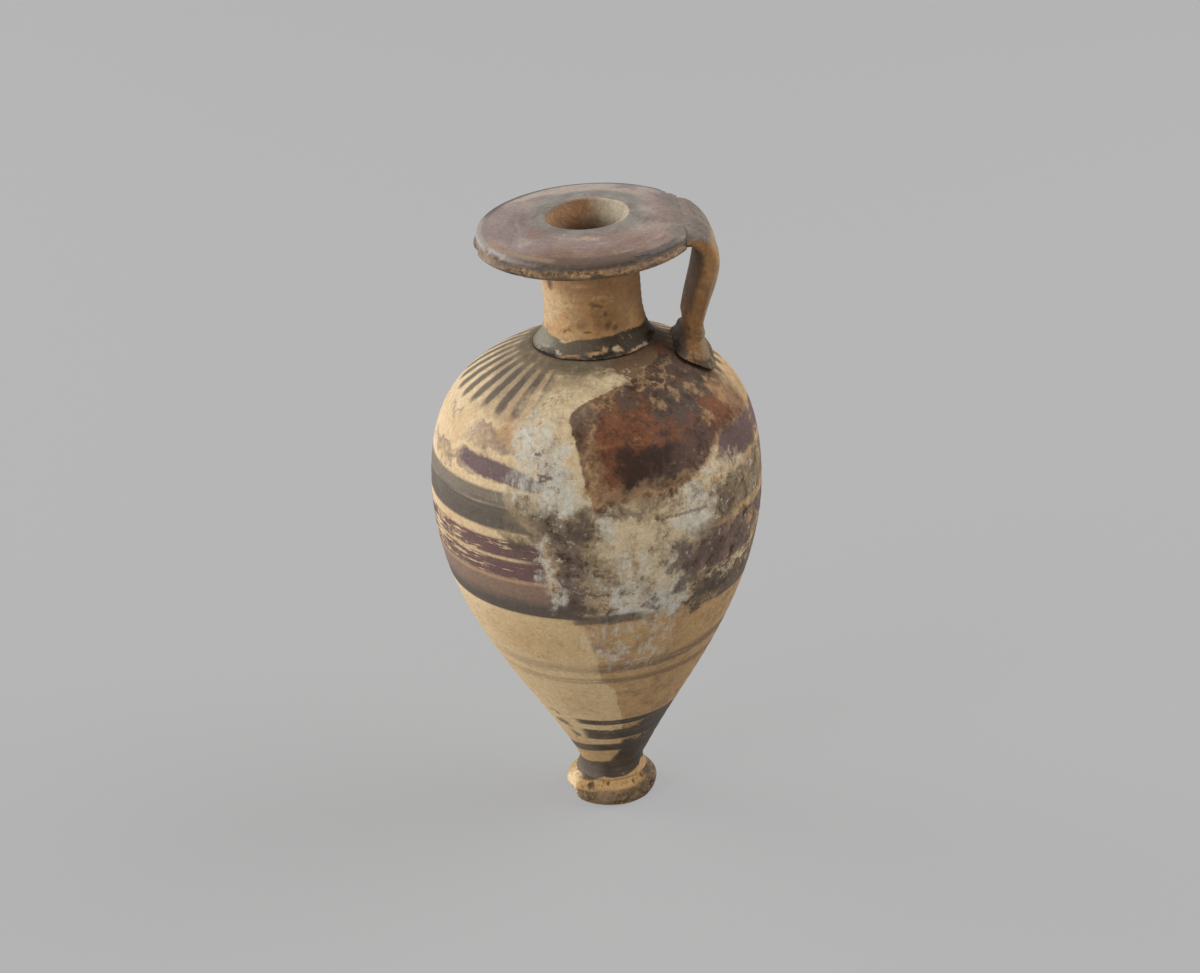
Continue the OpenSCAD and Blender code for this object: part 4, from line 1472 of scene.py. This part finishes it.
# %% Press on the pad
PAD_END, PAD_TURN = (20.6, 99.4), -27   # mm, and the slant of its last section in degrees
PAD_THICKER, PAD_WIDER = 5.3, 5.2       # mm more at its end than at the strap's
pad_s = np.linspace(0, 1, 30)
pad_f = pad_s ** 2.6
pad_path = np.array(STRAP_END) + pad_s[:, None] * (np.array(PAD_END) - np.array(STRAP_END))
pad_angles = strap_angles[-1] + pad_s * (radians(PAD_TURN) - strap_angles[-1])
pad_rings = rings_along(pad_path, pad_angles, STRAP_THICK[-1] + pad_f * PAD_THICKER,
                        STRAP_WIDE[-1] + pad_f * PAD_WIDER)
pad_mesh = loft("handle_root_pad", pad_rings, HANDLE_CLAY)
hand_over("handle_root_pad", pad_mesh, np.concatenate(pad_rings))

# %% [markdown]
# Between the plate's cut edge and the strap lies a thin layer of clay that holds them
# together. It has the strap's own first section, and reaches back from it to the cut edge.

# %% The layer between plate and strap
slip_rings = [strap_rings[0] - (back, 0, 0) for back in (0.4, 0.2, 0)]
slip_mesh = loft("handle_top_luting", slip_rings, TOP_LUTING)
hand_over("handle_top_luting", slip_mesh, np.concatenate(slip_rings))

# %% [markdown]
# The camera stands where the photographer stood: 25 degrees above the table, a little over
# two thirds of a metre away, with a long lens and a slight roll.

# %% Set the camera
CAMERA_AWAY, ROLL = 0.715, -2.8     # metres, degrees
aim = Vector((0.00001, 0, 0.07033))
height_angle, side_angle = radians(24.865), radians(3)
away = Vector((-sin(side_angle) * cos(height_angle), -cos(side_angle) * cos(height_angle),
               sin(height_angle)))
camera_data = bpy.data.cameras.new("camera")
camera_data.lens, camera_data.sensor_width = 104.57, 36
camera = put("camera", camera_data)
camera.matrix_world = Matrix.Translation(aim + away * CAMERA_AWAY) @ (
    away.to_track_quat("Z", "Y").to_matrix().to_4x4() @ Matrix.Rotation(radians(ROLL), 4, "Z"))
bpy.context.scene.camera = camera
print("camera at", [round(v, 3) for v in camera.location])

# %% [markdown]
# The table is plain grey and keeps the flask's faint shadow. The grey that the camera sees
# is mostly the floor's own glow, which only the rays of the camera, of gloss and of glass
# meet, so it throws no light on the flask.

# %% The floor
GREY = colour(176, 176, 176)


def plain_rays(bench):
    """1 for the rays that see the plain grey: the camera's, and those of gloss and of glass."""
    kinds = ("Is Camera Ray", "Is Glossy Ray", "Is Transmission Ray")
    camera_ray, glossy, glass = bench.add("ShaderNodeLightPath", out=kinds)
    return greater(camera_ray, greater(glossy, glass))


def studio_floor():
    material = bpy.data.materials.new("grey_floor")
    bench = cleared(material)
    matt = bench.add("ShaderNodeBsdfDiffuse", {}, {"Color": GREY})
    plain = bench.add("ShaderNodeEmission", {}, {"Color": GREY, "Strength": 1.0})
    both = bench.add("ShaderNodeMixShader", {}, [plain_rays(bench) * 0.75, matt, plain])
    bench.add("ShaderNodeOutputMaterial", {}, [both])
    return material


floor_mesh = bpy.data.meshes.new("floor")
floor_mesh.from_pydata([(-4, -4, 0), (4, -4, 0), (4, 4, 0), (-4, 4, 0)], [], [(0, 1, 2, 3)])
floor_mesh.materials.append(studio_floor())
floor = put("floor", floor_mesh)
print("the floor is", floor.dimensions.x, "m wide")

# %% [markdown]
# The room is the same plain grey to the camera, and an even white to the flask. That even
# light fills the shadows, as pale walls do in a studio.

# %% The room
world = bpy.data.worlds.new("room")
bench = cleared(world)
backdrop = bench.add("ShaderNodeBackground", {}, {"Color": GREY, "Strength": 1.0})
ambient = bench.add("ShaderNodeBackground", {}, {"Color": (1.0, 1.0, 1.0), "Strength": 0.56})
room = bench.add("ShaderNodeMixShader", {}, [plain_rays(bench), ambient, backdrop])
bench.add("ShaderNodeOutputWorld", {}, [room])
bpy.context.scene.world = world
print("the room has", len(world.node_tree.nodes), "nodes")

# %% [markdown]
# Large soft lamps stand on both sides, as in a museum's studio: one on the left at the back,
# one on the left in front, and one higher up on the right. All point at the flask's middle.

# %% The lamps
LAMP_AIM = Vector((0, 0, 0.07))


def lamp(name, place, size, power):
    """A square soft lamp that points at the flask."""
    data = bpy.data.lights.new(name, "AREA")
    data.size, data.energy = size, power
    light = put(name, data)
    light.location = place
    light.rotation_euler = (Vector(place) - LAMP_AIM).to_track_quat("Z", "Y").to_euler()
    print(f"{name}: {power} W, {size} m wide")


lamp("left_lamp", (-0.93, 0.52, 0.36), 0.8, 10.0)
lamp("front_left_lamp", (-0.92, -0.53, 0.36), 0.8, 5.5)
lamp("right_lamp", (0.84, 0.07, 0.78), 0.8, 9.0)
bpy.context.scene.view_settings.view_transform = "Standard"

# %% [markdown]
